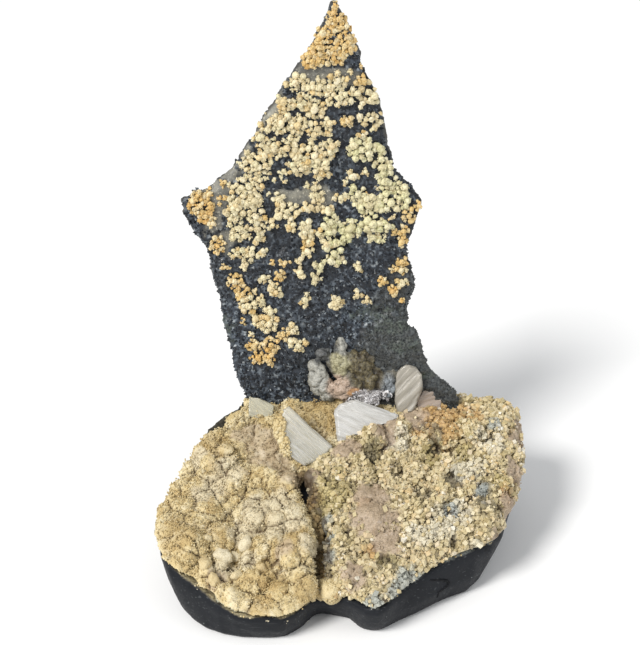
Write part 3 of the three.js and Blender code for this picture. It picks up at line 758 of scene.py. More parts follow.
note(slab_mesh, "smooth_zone", smooth_zone * face)
note(slab_mesh, "dark_zone", shaded_zone * face)
note(slab_mesh, "green_zone", green_zone)
note(slab_mesh, "face", face)
note(slab_mesh, "cell", point_owner)
note(slab_mesh, "hollow", hollowness(slab_mesh, 6, 0.5 * MM))
print("lowest and highest relief in mm:", (rocky - ledges).min().round(2), (rocky - ledges).max().round(2))

# %% [markdown]
# ## Quartz druse and chalcedony
#
# Druse is a carpet of quartz points a millimetre or two long. Its colour is a dark slate with paler
# bluish grains between, and it glitters because every facet is glossy and faces its own way. A bump
# alone can't glitter from the side, so real points stand on the skin, and the material gives each of
# them its own grey. The same material turns to a waxy grey-brown where the chalcedony shows, to a
# greenish grey in a few small places, and to dull rock with brownish patches on the back.

# %% The material of the slab
druse, tree, shader = new_material("quartz_druse", Specular_IOR_Level=0.36, IOR=1.54)
fine = placed_group(tree, grit, Size=900.0)
coarse = placed_group(tree, grit, Size=260.0)
slate = colour_steps(tree, read_number(tree, "cell"), [
    (0.0, (0.003, 0.004, 0.006)), (0.40, (0.017, 0.022, 0.031)), (0.70, (0.066, 0.083, 0.106)),
    (0.90, (0.17, 0.20, 0.23)), (1.0, (0.42, 0.45, 0.46)),
])
slate = tinted(tree, slate, coarse.outputs["Patches"], 0.75, (0.011, 0.013, 0.016))
dark = mixed_colour(tree, fine.outputs["Grains"], (0.004, 0.005, 0.005), (0.095, 0.098, 0.088))
slate = tinted(tree, slate, read_number(tree, "dark_zone"), 0.7, dark)
green = mixed_colour(tree, fine.outputs["Grains"], (0.015, 0.022, 0.018), (0.13, 0.16, 0.125))
green_share = combined(tree, "MULTIPLY", read_number(tree, "green_zone"), coarse.outputs["Grains"])
green_share = combined(tree, "MULTIPLY", green_share, 0.7)
slate = mixed_colour(tree, green_share, slate, green)
waxy = mixed_colour(tree, coarse.outputs["Patches"], (0.085, 0.080, 0.066), (0.31, 0.295, 0.235))
waxy = tinted(tree, waxy, coarse.outputs["Grains"], 0.6, (0.06, 0.065, 0.07))
waxy = mixed_colour(tree, ranged(tree, fine.outputs["Grains"], 0.75, 1.0), waxy, (0.50, 0.47, 0.38))
stone = mixed_colour(tree, read_number(tree, "smooth_zone"), slate, waxy)
rock = mixed_colour(tree, fine.outputs["Grains"], (0.022, 0.022, 0.022), (0.085, 0.085, 0.078))
rock = tinted(tree, rock, coarse.outputs["Patches"], 0.6, (0.070, 0.060, 0.045))
stone = mixed_colour(tree, read_number(tree, "face"), rock, stone)
# painted shade: the druse turns near black in its hollows
shade_hollows(tree, shader, stone, (0.006, 0.007, 0.009), 0.85)
wire(tree, ranged(tree, fine.outputs["Grains"], 0, 1, 0.2, 0.6), shader.inputs["Roughness"])
raised(tree, shader, fine.outputs["Height"], 0.35 * MM, 0.7)
show("standing_slab_druse", slab_mesh, druse, "druse", "standing_slab")

# %% [markdown]
# ## Quartz points
#
# A quartz point is a six-sided prism with a pyramid on top. At this size only the pyramid shows, so a
# small five-sided cone of a bmesh operator stands in for it, with its tip along the face's normal, give
# or take. The points keep away from the chalcedony. A particle system could scatter them, but an export
# drops it. Placing them on vertices of the even net spaces them well without any further sorting.

# %% Choose vertices to grow on
def chosen_vertices(dice, chance, count):
    chance = np.clip(chance, 0, None)
    count = min(count, int((chance > 0).sum()))
    return dice.choice(len(chance), size=count, replace=False, p=chance / chance.sum())


print("two of five vertices:", chosen_vertices(np.random.default_rng(1), np.array([0, 1, 1, 1, 0]), 2))

# %% Set the points on the slab's face
QUARTZ_POINTS = 8000
dice = np.random.default_rng(2024)
slab_spots = spots_of(slab_mesh)
slab_normals = normals_of(slab_mesh)
_, _, up = on_slab(slab_spots)
chance = face * (1 - smooth_zone) ** 2 * (up > -6)
here = chosen_vertices(dice, chance, QUARTZ_POINTS)
sizes = (0.45 + 0.75 * dice.random(len(here)) ** 1.6) * (1 - 0.35 * dark_zone[here]) * MM
places = slab_spots[here] + slab_normals[here] * (0.25 * sizes)[:, None]
tone = np.clip(dice.random(len(here)) ** 1.25, 0, 1)
quartz_mesh = joined_grains("quartz_points", [(
    point_grain(5, 1.9), places, facing_turns(dice, slab_normals[here], 0.45), sizes,
    {"cell": tone, "dark_zone": shaded_zone[here], "face": np.ones(len(here))},
)], smooth=False)
show("quartz_points", quartz_mesh, druse, "druse")

# %% [markdown]
# ## Calcite balls
#
# Calcite grew on the druse last, as clusters of small cream balls that look like popcorn. They are
# many, and they can't be scattered by chance alone: it is their drift across the face, thick at the
# upper left and sparse at the lower right, that gives the specimen its look. So each cluster is one
# short row, given one by one: across, up, half width and half height in millimetres. The rows are in
# three lists by colour: rusty orange at the tip, the spur and the edges, cream in the middle, and
# greenish yellow on the right.

# %% Orange clusters
ORANGE_CLUSTERS = [
    [-3, 230, 1.5, 2], [-3.5, 226, 2.5, 3], [-0.5, 223, 3, 3], [-6.5, 221, 2.5, 3], [-9.5, 215.5, 3, 3],
    [-12.5, 210.5, 3, 3], [-17, 204, 3, 3], [5, 213, 2.5, 4], [0.5, 218.5, 5.5, 2.5],
    [2.5, 208.5, 6.5, 6.5], [-11.5, 208, 8, 7],
    [-3.5, 202, 5.5, 4.5], [-15, 200, 6, 4], [11.5, 197, 1.5, 1.5], [13, 189, 5.5, 3], [4, 166.5, 3.5, 3.5],
    [-66, 130.5, 2, 2.5], [-79, 126, 6.5, 5.5], [-78.5, 118, 7.5, 6.5], [45, 117, 3, 3.5],
    [39.5, 111.5, 3.5, 4.5], [-76, 111.5, 4.5, 4], [36.5, 102.5, 3, 3], [31, 102, 1.5, 2],
    [-17.5, 96.5, 3, 3.5], [35.5, 96, 3, 3], [-69.5, 94, 5, 5.5], [-31, 84.5, 3, 2], [-38, 84, 1.5, 2],
    [36, 84, 3, 2.5], [-65, 81.5, 3, 2], [30.5, 80, 1.5, 2], [35.5, 79, 3.5, 2.5], [-34.5, 77, 3.5, 3],
    [-60, 73, 5, 5], [25, 72.5, 3, 3], [30.5, 66.5, 3, 3], [-55.5, 65.5, 4.5, 5], [36.5, 60, 1.5, 2],
    [-55.5, 48, 1.5, 2], [-32.5, 41, 3, 4], [-39.5, 34, 4.5, 5], [-49.5, 33.5, 4.5, 4],
    [-47, 25.5, 5.5, 4], [-40.5, 24.5, 3.5, 4],
]
print("orange clusters:", len(ORANGE_CLUSTERS))

# %% Cream clusters
CREAM_CLUSTERS = [
    [6, 194, 1.5, 1.5], [-1.5, 189, 5.5, 4.5], [-24.5, 188, 8, 4], [-11.5, 185.5, 6.5, 4],
    [9.5, 182, 3.5, 3.5], [-0.5, 180, 7.5, 5], [19, 180, 3.5, 5], [-31, 177, 6, 4.5], [12.5, 176.5, 2.5, 3],
    [-22, 175.5, 4.5, 3.5], [-14, 173, 6.5, 5], [17.5, 167.5, 7.5, 4], [-5.5, 165.5, 3, 2.5],
    [-32.5, 165.5, 7.5, 6], [-23.5, 164, 5, 6], [18.5, 162, 1.5, 1.5], [-12.5, 162, 7.5, 4.5],
    [13, 158, 3.5, 2.5], [-43.5, 157.5, 5, 7], [-4, 152.5, 3.5, 3.5], [-29.5, 151.5, 10, 5],
    [-40, 150.5, 5, 4], [-14, 147, 11, 6.5], [-47, 142.5, 9.5, 6], [-25, 138.5, 6.5, 3.5],
    [14.5, 137.5, 2, 2.5], [-9.5, 136.5, 5.5, 3.5], [7.5, 134.5, 3.5, 3], [3, 130.5, 1.5, 1.5],
    [-51, 129.5, 9, 4.5], [-18.5, 129, 1.5, 2], [-12.5, 124, 4, 4.5], [1, 122.5, 4.5, 2.5],
    [-57, 121.5, 6, 5.5], [-34, 121.5, 3.5, 3.5], [-47.5, 121, 4.5, 4], [-16, 117, 5, 4],
    [-6.5, 115, 3.5, 3.5], [-29.5, 114.5, 7.5, 4.5], [-59, 114, 5.5, 6], [-47.5, 112, 6, 4.5],
    [-71.5, 107.5, 2.5, 3.5], [-38, 106.5, 3, 2.5], [-28.5, 105.5, 2.5, 2.5], [-18.5, 105, 3.5, 3.5],
    [-57, 104.5, 6, 3.5], [-28.5, 104, 2.5, 2.5], [-46.5, 104, 4.5, 3.5], [-19.5, 102.5, 3.5, 5],
    [-12, 101.5, 2.5, 2.5], [-58, 100, 5, 4], [-46, 98.5, 3, 3], [-7, 95, 3, 3], [-43.5, 91, 2.5, 2.5],
    [-18, 91, 4, 4], [-58.5, 89.5, 4.5, 4], [-50, 89.5, 4, 4], [-22, 86.5, 3, 2.5], [-54, 83.5, 3, 3],
    [11, 81, 3, 3], [-22.5, 79, 3, 3], [-43.5, 75.5, 3, 3], [-13.5, 75.5, 3.5, 3], [-38, 71.5, 3, 2],
    [36, 71.5, 3.5, 3], [-36.5, 66.5, 3.5, 3.5], [-48.5, 66.5, 1.5, 2], [10.5, 64.5, 3, 2.5],
    [-19.5, 62, 3, 4.5], [-44, 61, 3.5, 3.5], [16, 60.5, 2.5, 2.5], [-2, 60, 3.5, 4.5],
    [-52.5, 57.5, 5, 6], [-39.5, 54.5, 3.5, 3], [-48.5, 49.5, 3, 3], [-40.5, 47.5, 6, 5.5],
    [-26.5, 43, 3.5, 4], [-51, 40.5, 1.5, 2], [-23.5, 34, 6, 4],
]
print("cream clusters:", len(CREAM_CLUSTERS))

# %% Yellow clusters
YELLOW_CLUSTERS = [
    [12.5, 150.5, 8, 7], [23, 150.5, 4.5, 3.5], [24, 140, 5.5, 6], [25.5, 132, 6.5, 5],
    [36.5, 128.5, 6.5, 4], [10.5, 124.5, 5, 4], [29, 120, 10, 5.5], [17, 118.5, 8, 5.5],
    [-5, 108.5, 5, 5.5], [19, 107.5, 6, 5.5],
    [27.5, 106, 3.5, 3.5], [6.5, 105, 7, 5], [-6, 102, 4.5, 4], [5.5, 100, 5.5, 3.5], [19, 99, 3, 3],
    [22.5, 97, 2.5, 2.5], [0.5, 96, 3, 3], [-3, 90, 4.5, 6], [-0.5, 84.5, 4, 2.5], [-10.5, 82.5, 3.5, 3.5],
]

CLUSTERS = ORANGE_CLUSTERS + CREAM_CLUSTERS + YELLOW_CLUSTERS
print("yellow clusters:", len(YELLOW_CLUSTERS), "and in all:", len(CLUSTERS))

# %% [markdown]
# ## Filling a cluster
#
# A cluster is a mound: its balls are packed side by side, and those in the middle stand higher. Each
# new ball gets a random place in the cluster's oval and is kept if it doesn't sink too far into one
# that is there already, the simplest way to pack. A ray from in front of the face finds how high the
# druse is at that place. Where clusters run together, small balls fill the gaps between them.

# %% A ray onto the face
RAY_START, RAY_REACH = 30.0, 45 * MM
slab_tree = tree_of(slab_mesh)


def face_at(across, up):
    start = Vector(off_slab(across, RAY_START, up))
    hit, _, _, distance = slab_tree.ray_cast(start, Vector(-SLAB_AXES[1]))
    return None if hit is None or distance > RAY_REACH else hit


print("a ray hits the face:", face_at(0, 60) is not None, "and passes beside it:", face_at(150, 60) is None)

# %% The balls of one list of clusters
PACKING = 0.62  # how close two balls come, as a share of the sum of their radii


def balls_of(dice, clusters, smallest, largest, warmth):
    """The place, radius and warmth of every ball, sizes given in millimetres."""
    balls = []
    for x, y, wide, high in clusters:
        kept = []
        large = min(largest, 0.75 * min(wide, high))
        small = min(smallest, 0.6 * large)
        wanted = int(1.3 * wide * high / (0.5 * (small + large)) ** 2 + 0.4)
        for attempt in range(8 * wanted):
            angle = 2 * math.pi * dice.random()
            spread = math.sqrt(dice.random()) if attempt else 0.0
            radius = small + (large - small) * dice.random() if attempt else large
            a = x + wide * spread * math.cos(angle)
            b = y + high * spread * math.sin(angle)
            if all(math.hypot(a - p, b - q) > PACKING * (radius + r) for p, q, r in kept):
                kept.append((a, b, radius))
                found = face_at(a, b)
                if found is None:
                    continue
                lift = 0.30 * min(wide, high) * (1 - spread**2) + 0.25 * radius
                spot = np.array(found) + SLAB_AXES[1] * lift * MM
                balls.append((spot, radius * MM, warmth + 0.10 * dice.normal()))
            if len(kept) >= wanted:
                break
    return balls


print("balls in the first cluster:", len(balls_of(np.random.default_rng(1), CLUSTERS[:1], 0.9, 1.9, 0.7)))

# %% Fill the clusters, and the gaps between those that run together
FILLED = [
    [-26, 168, 17, 17], [-40, 146, 18, 17], [-16, 160, 15, 24], [-52, 122, 14, 14], [-12, 184, 14, 9],
    [-20, 138, 16, 8], [-52, 104, 12, 12], [26, 118, 15, 11], [16, 106, 14, 10], [0, 214, 8, 14],
    [-74, 118, 9, 12],
]
FILL_DENSITY = 0.11
dice = np.random.default_rng(77)
fill = []
for x, y, wide, high in FILLED:
    for _ in range(int(FILL_DENSITY * wide * high)):
        angle, spread = 2 * math.pi * dice.random(), math.sqrt(dice.random())
        fill.append([x + wide * spread * math.cos(angle), y + high * spread * math.sin(angle), 1.2, 1.2])
warm = [spot for spot in fill if spot[1] > 200 or spot[0] < -62]
cool = [spot for spot in fill if spot not in warm]
balls = balls_of(dice, warm, 0.6, 1.2, 0.76) + balls_of(dice, cool, 0.6, 1.3, 0.45)
balls += balls_of(dice, ORANGE_CLUSTERS, 0.9, 1.9, 0.74)
balls += balls_of(dice, CREAM_CLUSTERS, 1.1, 2.3, 0.50)
balls += balls_of(dice, YELLOW_CLUSTERS, 1.2, 2.6, 0.16)
ball_places = np.array([ball[0] for ball in balls])
ball_sizes = np.array([ball[1] for ball in balls])
ball_warmth = np.clip([ball[2] for ball in balls], 0, 1)
print(len(balls), "calcite balls, in", len(CLUSTERS), "clusters and at", len(fill), "places between them")

# %% [markdown]
# ## Beads on the balls
#
# Seen close up, each ball is a cauliflower and not a marble. A displacement would need thousands of
# triangles for every ball. Instead, beads of eight triangles cover its outer side, as many as its area
# needs, and each takes a colour close to its ball's. All of them are joined in an upper and a lower
# piece; in one piece they would pass two hundred thousand triangles.


# %% Join the balls and the beads on them
BEADS_ON_A_BALL = 2.7  # beads on a ball of one millimetre, besides three
HALFWAY = 118  # millimetres up the slab where the upper piece begins


def popcorn(name, chosen, seed):
    dice = np.random.default_rng(seed)
    tone = dice.random(len(chosen))
    kinds = dice.integers(0, 3, len(chosen))
    parts = []
    shapes = (ball_grain(2, 0.24, 300), ball_grain(1, 0.2, 301), ball_grain(1, 0.2, 302))
    for kind, shape in enumerate(shapes):
        own = chosen[kinds == kind]
        stretch = ball_sizes[own, None] * (0.92 + 0.14 * dice.normal(size=(len(own), 3)))
        numbers = {"warmth": ball_warmth[own], "tone": tone[kinds == kind]}
        parts.append((shape, ball_places[own], random_turns(dice, len(own)), stretch, numbers))
    beads = np.round(3 + BEADS_ON_A_BALL * (ball_sizes[chosen] / MM) ** 2).astype(int)
    owner = np.repeat(chosen, beads)
    aim = SLAB_AXES[1] + 0.95 * dice.normal(size=(len(owner), 3))
    aim /= np.linalg.norm(aim, axis=1)[:, None]
    aim = np.where((aim @ SLAB_AXES[1])[:, None] < -0.2, -aim, aim)
    size = (0.30 + 0.34 * dice.random(len(owner)) ** 1.3) * MM
    spots = ball_places[owner] + aim * (ball_sizes[owner] * (0.9 + 0.12 * dice.random(len(owner))))[:, None]
    numbers = {
        "warmth": np.clip(ball_warmth[owner] + 0.07 * dice.normal(size=len(owner)), 0, 1),
        "tone": np.clip(0.4 * np.repeat(tone, beads) + 0.6 * dice.random(len(owner)), 0, 1),
    }
    parts.append((speck_grain(), spots, random_turns(dice, len(owner)), size, numbers))
    return joined_grains(name, parts, smooth=True)


upper = np.flatnonzero(on_slab(ball_places)[2] > HALFWAY)
lower = np.flatnonzero(on_slab(ball_places)[2] <= HALFWAY)
print("balls in the upper and the lower piece:", len(upper), len(lower))

# %% [markdown]
# ## The colour of the balls
#
# Most balls are cream. They turn to a rusty orange at the tip and on the spur, where iron got to them,
# and to a greenish yellow along the middle of the right side. One number per ball says how warm it is,
# and a colour ramp turns that number into a colour. A second number, its tone, makes some grains paler
# and some deeper. The pits between the grains of the bump are painted darker, a painted shade in a brown
# of the same colour, so that the shade of the popcorn stays warm.

# %% The material of the balls
popcorn_calcite, tree, shader = new_material(
    "popcorn_calcite", Specular_IOR_Level=0.4, IOR=1.5, Roughness=0.7
)
fine = placed_group(tree, grit, Size=1350.0)
base = colour_steps(tree, read_number(tree, "warmth"), [
    (0.0, (0.75, 0.73, 0.43)), (0.25, (0.83, 0.77, 0.51)), (0.52, (0.86, 0.76, 0.50)),
    (0.75, (0.82, 0.60, 0.26)), (1.0, (0.73, 0.45, 0.14)),
])
deep = mixed_colour(tree, 0.6, base, (0.30, 0.19, 0.07))
# painted shade: where the bump is low, between the beads, the colour turns to the deep brown
base = mixed_colour(tree, ranged(tree, fine.outputs["Height"], 0.70, 0.50, 0.0, 0.75), base, deep)
base = mixed_colour(tree, ranged(tree, read_number(tree, "tone"), 0.30, 0.0, 0.0, 0.6), base, deep)
pale = ranged(tree, read_number(tree, "warmth"), 0.5, 1.0, 0.5, 0.15)
pale = combined(tree, "MULTIPLY", ranged(tree, read_number(tree, "tone"), 0.6, 1.0), pale)
base = mixed_colour(tree, pale, base, (0.88, 0.83, 0.66))
wire(tree, base, shader.inputs["Base Color"])
raised(tree, shader, fine.outputs["Height"], 0.7 * MM, 1.0)
show("calcite_balls_upper", popcorn("calcite_balls_upper", upper, 5), popcorn_calcite, "tan_calcite")
show("calcite_balls_lower", popcorn("calcite_balls_lower", lower, 6), popcorn_calcite, "tan_calcite")

# %% [markdown]
# ## The cut foot
#
# The foot is basalt, sawn flat below and chipped to shape around its wall. Its skin is satin, nearly
# black, with faint scratches and cracks, pale specks where gas bubbles were filled, and a thin pale
# line right under the crusts, tan on the left and bluish on the right. Only that line needs to know
# where the crusts are: the distance from the wall to them is measured and kept as a number on each
# vertex. The two crusts meet in a cleft, whose course several later steps need, so it comes first.

# %% How far a spot lies from the cleft between the two crusts
CLEFT_Y = [-81, -63, -45, -29, -15, -3]
CLEFT_X = [-10.8, -10.8, -11.8, -15.3, -19.8, -23.8]


def beside_cleft(spots):
    """Signed distance in millimetres, negative on the side of the left crust."""
    x, y = spots[:, 0] / MM, spots[:, 1] / MM
    return x - np.interp(y, CLEFT_Y, CLEFT_X)


print("the origin lies", beside_cleft(np.zeros((1, 3))).round(1), "mm right of the cleft")

# %% The foot's net
FOOT_VOXEL = 1.5 * MM
ON_TABLE = 0.4 * MM  # height below which a vertex belongs to the flat underside
KEPT_BELOW = 0.08  # share of the triangles that stays where nobody looks


def to_crusts(spots):
    return np.minimum(nearness(spots, "left_crust", 6), nearness(spots, "right_crust", 6))


foot_mesh = remeshed(merged_copy("basalt_foot"), FOOT_VOXEL)
move_to(foot_mesh, averaged(foot_mesh, spots_of(foot_mesh), 3))
foot_spots = spots_of(foot_mesh)
under_crust = to_crusts(foot_spots) < 1.6
on_table = foot_spots[:, 2] < ON_TABLE
below = under_crust & (normals_of(foot_mesh)[:, 2] > 0.6) & (np.abs(beside_cleft(foot_spots)) > 10)
foot_mesh = thinned(foot_mesh, on_table | below, KEPT_BELOW)
print("the foot's net:", len(foot_mesh.vertices), "vertices")

# %% Swell and chipped facets, but none of them on the flat underside
foot_spots = spots_of(foot_mesh)
foot_normals = normals_of(foot_mesh)
side = 1 - np.abs(foot_normals[:, 2])
swell = 0.9 * rough_drift(foot_spots * [1, 1, 0.6], 22 * MM, 401)
facets, _, facet_owner = cells(foot_spots * [1, 1, 0.7], 13 * MM, 409)
flaked = -0.9 * eased(facets, 0.0, 0.9) + 0.5 * (facet_owner - 0.5)
push = np.where(side > 0.3, 0.55 * swell + 0.5 * flaked, 0.25 * swell)
push = np.where(foot_spots[:, 2] < ON_TABLE, np.minimum(push, 0), push)
shaped = foot_spots + foot_normals * (push * MM)[:, None]
flat = foot_spots[:, 2] < 0.6 * MM
shaped[flat, 2] = foot_spots[flat, 2]
shaped[:, 2] = np.maximum(shaped[:, 2], 0.0)
move_to(foot_mesh, shaped)
note(foot_mesh, "hollow", hollowness(foot_mesh, 5, 0.6 * MM))
print("the foot's skin moved by", push.min().round(2), "to", push.max().round(2), "mm")

# %% How near the crusts are
foot_spots = spots_of(foot_mesh)
near_crust = to_crusts(foot_spots)
ragged = 1.3 * rough_drift(foot_spots, 11 * MM, 433) + 0.6 * drift(foot_spots, 3 * MM, 439)
at_front = 1 - 0.85 * eased(foot_spots[:, 1] / MM, -40, -12)
pale_line = 0.7 * at_front * eased(-(near_crust + ragged), -1.1, -0.2)
note(foot_mesh, "rim", pale_line)
note(foot_mesh, "right_side", eased(foot_spots[:, 0] / MM, -16, 2))
print("vertices on the pale line:", int((pale_line > 0.3).sum()))

# %% [markdown]
# ## Basalt as a material
#
# A black stone is hard to shade: without marks it looks like rubber. Four things make it stone here. Two
# greys wander into each other. Scratches are noise stretched along one direction by a Mapping node.
# Cracks are the thin line where a distorted noise crosses its middle value. Specks are the centres of
# Voronoi cells, shown only where a finer noise allows it.

# %% The basalt's two greys, and its scratches
basalt, tree, shader = new_material("basalt", Specular_IOR_Level=0.13)
fine = placed_group(tree, grit, Size=700.0)
coarse = placed_group(tree, grit, Size=150.0)
place = tree.nodes.new("ShaderNodeTexCoord")
rock = mixed_colour(tree, coarse.outputs["Patches"], (0.006, 0.007, 0.009), (0.014, 0.0155, 0.019))
rock = tinted(tree, rock, fine.outputs["Grains"], 0.4, (0.021, 0.023, 0.027))
scratch_place = tree.nodes.new("ShaderNodeMapping")
scratch_place.inputs["Rotation"].default_value = (0.5, 0.4, 0.9)
scratch_place.inputs["Scale"].default_value = (40, 900, 900)
scratch = tree.nodes.new("ShaderNodeTexNoise")
scratch.inputs["Scale"].default_value = 1.0
scratch.inputs["Detail"].default_value = 1.0
wire(tree, place.outputs["Object"], scratch_place.inputs["Vector"])
wire(tree, scratch_place.outputs[0], scratch.inputs["Vector"])
scratches = ranged(tree, scratch.outputs[0], 0.66, 0.74)
rock = tinted(tree, rock, scratches, 0.5, (0.085, 0.09, 0.095))
print("basalt so far:", len(tree.nodes), "nodes")

# %% Cracks and specks
crack_place = tree.nodes.new("ShaderNodeMapping")
crack_place.inputs["Scale"].default_value = (26, 26, 34)
crack = tree.nodes.new("ShaderNodeTexNoise")
crack.inputs["Scale"].default_value = 1.0
crack.inputs["Detail"].default_value = 3.0
crack.inputs["Distortion"].default_value = 1.2
wire(tree, place.outputs["Object"], crack_place.inputs["Vector"])
wire(tree, crack_place.outputs[0], crack.inputs["Vector"])
from_middle = combined(tree, "ABSOLUTE", combined(tree, "SUBTRACT", crack.outputs[0], 0.5))
crack_line = ranged(tree, from_middle, 0.012, 0.0)
crack_line = combined(tree, "MULTIPLY", crack_line, ranged(tree, coarse.outputs["Patches"], 0.75, 0.9))
rock = tinted(tree, rock, crack_line, 0.8, (0.003, 0.003, 0.003))
specks = tree.nodes.new("ShaderNodeTexVoronoi")
specks.inputs["Scale"].default_value = 330.0
wire(tree, place.outputs["Object"], specks.inputs["Vector"])
speck = ranged(tree, specks.outputs["Distance"], 0.13, 0.08)
speck = combined(tree, "MULTIPLY", speck, ranged(tree, coarse.outputs["Grains"], 0.68, 0.84))
rock = mixed_colour(tree, speck, rock, (0.26, 0.28, 0.28))
print("basalt with cracks and specks:", len(tree.nodes), "nodes")

# %% The pale line below the crusts, and the finish
left_line = mixed_colour(tree, fine.outputs["Grains"], (0.20, 0.165, 0.095), (0.58, 0.50, 0.31))
right_line = mixed_colour(tree, fine.outputs["Grains"], (0.13, 0.15, 0.15), (0.56, 0.58, 0.54))
line = mixed_colour(tree, read_number(tree, "right_side"), left_line, right_line)
rock = mixed_colour(tree, read_number(tree, "rim"), rock, line)
# painted shade: the basalt turns darker in its hollows
shade_hollows(tree, shader, rock, (0.010, 0.010, 0.011), 0.7)
wire(tree, ranged(tree, fine.outputs["Grains"], 0, 1, 0.42, 0.62), shader.inputs["Roughness"])
raised(tree, shader, fine.outputs["Height"], 0.25 * MM, 0.35)
show("basalt_foot_stone", foot_mesh, basalt, "basalt", "basalt_foot")

# %% [markdown]
# ## The left crust
#
# On the left, calcite grew as botryoidal lumps: rounded like a bunch of grapes, each lump covered with
# smaller buds, and each bud with grains. A displacement texture could do one of those steps, but the
# creases between lumps have to line up with the colour, so the cells are worked out here. A bulge that
# falls off with the square of the distance to its centre meets its neighbour in a sharp crease, as two
# growing spheres do.

# %% Round patches seen from above, and bulges
def round_patches(spots, places, ragged, seed):
    x, y = spots[:, 0] / MM, spots[:, 1] / MM
    return patch(x, y, [[a, b, r, r] for a, b, r in places], ragged, seed)


def bulges(spots, size, height, seed):
    away, border, owner = cells(spots, size * MM, seed)
    return height * (0.62 - np.minimum(away, 0.95) ** 2) * (0.55 + 0.9 * owner), border, owner


test_bulge = bulges(np.array([[0.01, 0.02, 0.03]]), 13.5, 5.0, 511)[0]
print("a bulge of at most 5 mm is, at one spot,", test_bulge.round(2), "mm high")

# %% [markdown]
# ## Skins of both crusts
#
# Both crusts start in the same way. The CAD solid is smoothed into a net, thinned where it lies on
# the foot, and drawn back a little from the cleft, so that a dark gap opens between the two. The outer
# edge is known as a number, the rim, because a crust thins out there over the basalt and its lumps
# have to become small.


# %% Open the cleft, find the rim, and make a crust's net
CRUST_COARSE, CRUST_FINE = 1.3 * MM, 0.86 * MM
KEPT_ON_FOOT = 0.06  # share of the triangles that stays where a crust lies on the foot


def opened_cleft(spots, side):
    away = np.abs(beside_cleft(spots) + 1.5 * drift(spots, 9 * MM, 471))
    reach = eased(spots[:, 1] / MM, -86, -76) * eased(-spots[:, 1] / MM, 4, 16)
    spread = (3.8 if side < 0 else 3.0) * np.clip(1 - away / 10, 0, 1) * reach
    opened = spots.copy()
    opened[:, 0] += side * spread * MM
    opened[:, 2] -= 0.8 * spread * MM
    return opened


def rim_of(mesh):
    """Where a crust thins out over the basalt: 1 on its outer edge and 0 a few millimetres inwards."""
    spots = spots_of(mesh)
    outside = np.maximum(eased(np.abs(beside_cleft(spots)), 9, 14), eased(-spots[:, 1] / MM, 70, 76))
    return eased(-nearness(spots, "basalt_foot", 6), -5.0, -1.5) * outside


def crust_net(node, rounds, side):
    mesh = skin_of(node, CRUST_COARSE, CRUST_FINE, rounds)
    on_foot = (nearness(spots_of(mesh), "basalt_foot", 3) < 1.2) & (normals_of(mesh)[:, 2] < -0.3)
    mesh = thinned(mesh, on_foot, KEPT_ON_FOOT)
    rim = rim_of(mesh)
    move_to(mesh, opened_cleft(spots_of(mesh), side))
    return mesh, rim


left_mesh, left_rim = crust_net("left_crust", 4, -1)
print("share of the left crust that is rim:", round(float(left_rim.mean()), 3))

# %% Draw the left crust's back corner in, where the foot shows beside it
DRAWN_IN = np.array([3.4, -1.6, -1.8]) * MM
spots = spots_of(left_mesh)
back_edge = left_rim * eased(spots[:, 1] / MM, -22, 0) * eased(-spots[:, 0] / MM, 42, 56)
move_to(left_mesh, spots + back_edge[:, None] * DRAWN_IN)
print("vertices drawn in:", int((back_edge > 0.5).sum()))

# %% Lumps, knobs, buds and pearls
LEFT_CALM = [[-47, 12, 11], [-38, 3, 8], [-20, 32, 12], [4, 34, 14]]
spots = spots_of(left_mesh)
warped = spots + 2.6 * MM * np.stack([drift(spots, 10 * MM, 501 + k) for k in range(3)], axis=1)
warped = warped + 0.7 * MM * np.stack([drift(spots, 3 * MM, 551 + k) for k in range(3)], axis=1)
lumps, lump_border, lump_owner = bulges(warped, 13.5, 5.0, 511)
knobs, knob_border, knob_owner = bulges(warped, 6.5, 2.0, 519)
buds, _, bud_owner = bulges(warped, 3.4, 0.9, 523)
pearls = bulges(spots, 1.8, 0.6, 541)[0]
some = eased(drift(spots, 16 * MM, 561), -0.5, 0.5)
creases = (0.5 + 1.1 * some) * eased(-lump_border, -0.08, 0.0) + 0.6 * some * eased(-knob_border, -0.1, 0.0)
shown = eased(normals_of(left_mesh)[:, 2], -0.5, 0.1)
calm = 1 - 0.6 * round_patches(spots, LEFT_CALM, 0.2, 599)
push = shown * (calm * (lumps + (0.35 + 0.65 * some) * knobs - creases) + buds + pearls) - 0.7
push = push * (1 - 0.55 * left_rim) - 0.45 * left_rim
move_to(left_mesh, spots + normals_of(left_mesh) * (push * MM)[:, None])
print("left crust skin:", len(left_mesh.vertices), "vertices")

# %% Hollows of two sizes, painted shade along the cleft, and the edge that lies on the basalt
def deep_and_fine(mesh):
    fine_hollow = hollowness(mesh, 6, 0.9 * MM)
    deep_hollow = hollowness(mesh, 45, 3.2 * MM)
    # painted shade: within a few millimetres of the cleft the front half counts as a hollow and darkens
    cleft = eased(-np.abs(beside_cleft(spots_of(mesh))), -5.5, -2.5) * (spots_of(mesh)[:, 1] < 0)
    return np.clip(np.maximum(fine_hollow, 0) + np.maximum(deep_hollow, 0) + 0.7 * cleft, -1, 1.1)


def rim_edge(mesh):
    spots = spots_of(mesh)
    away = nearness(spots, "basalt_foot", 5) + 0.9 * rough_drift(spots, 8 * MM, 577)
    return eased(-away, -1.5, -0.5)


left_hollow, left_edge = deep_and_fine(left_mesh), rim_edge(left_mesh)
print("share of the left crust that lies in hollows:", round(float((left_hollow > 0.5).mean()), 3))

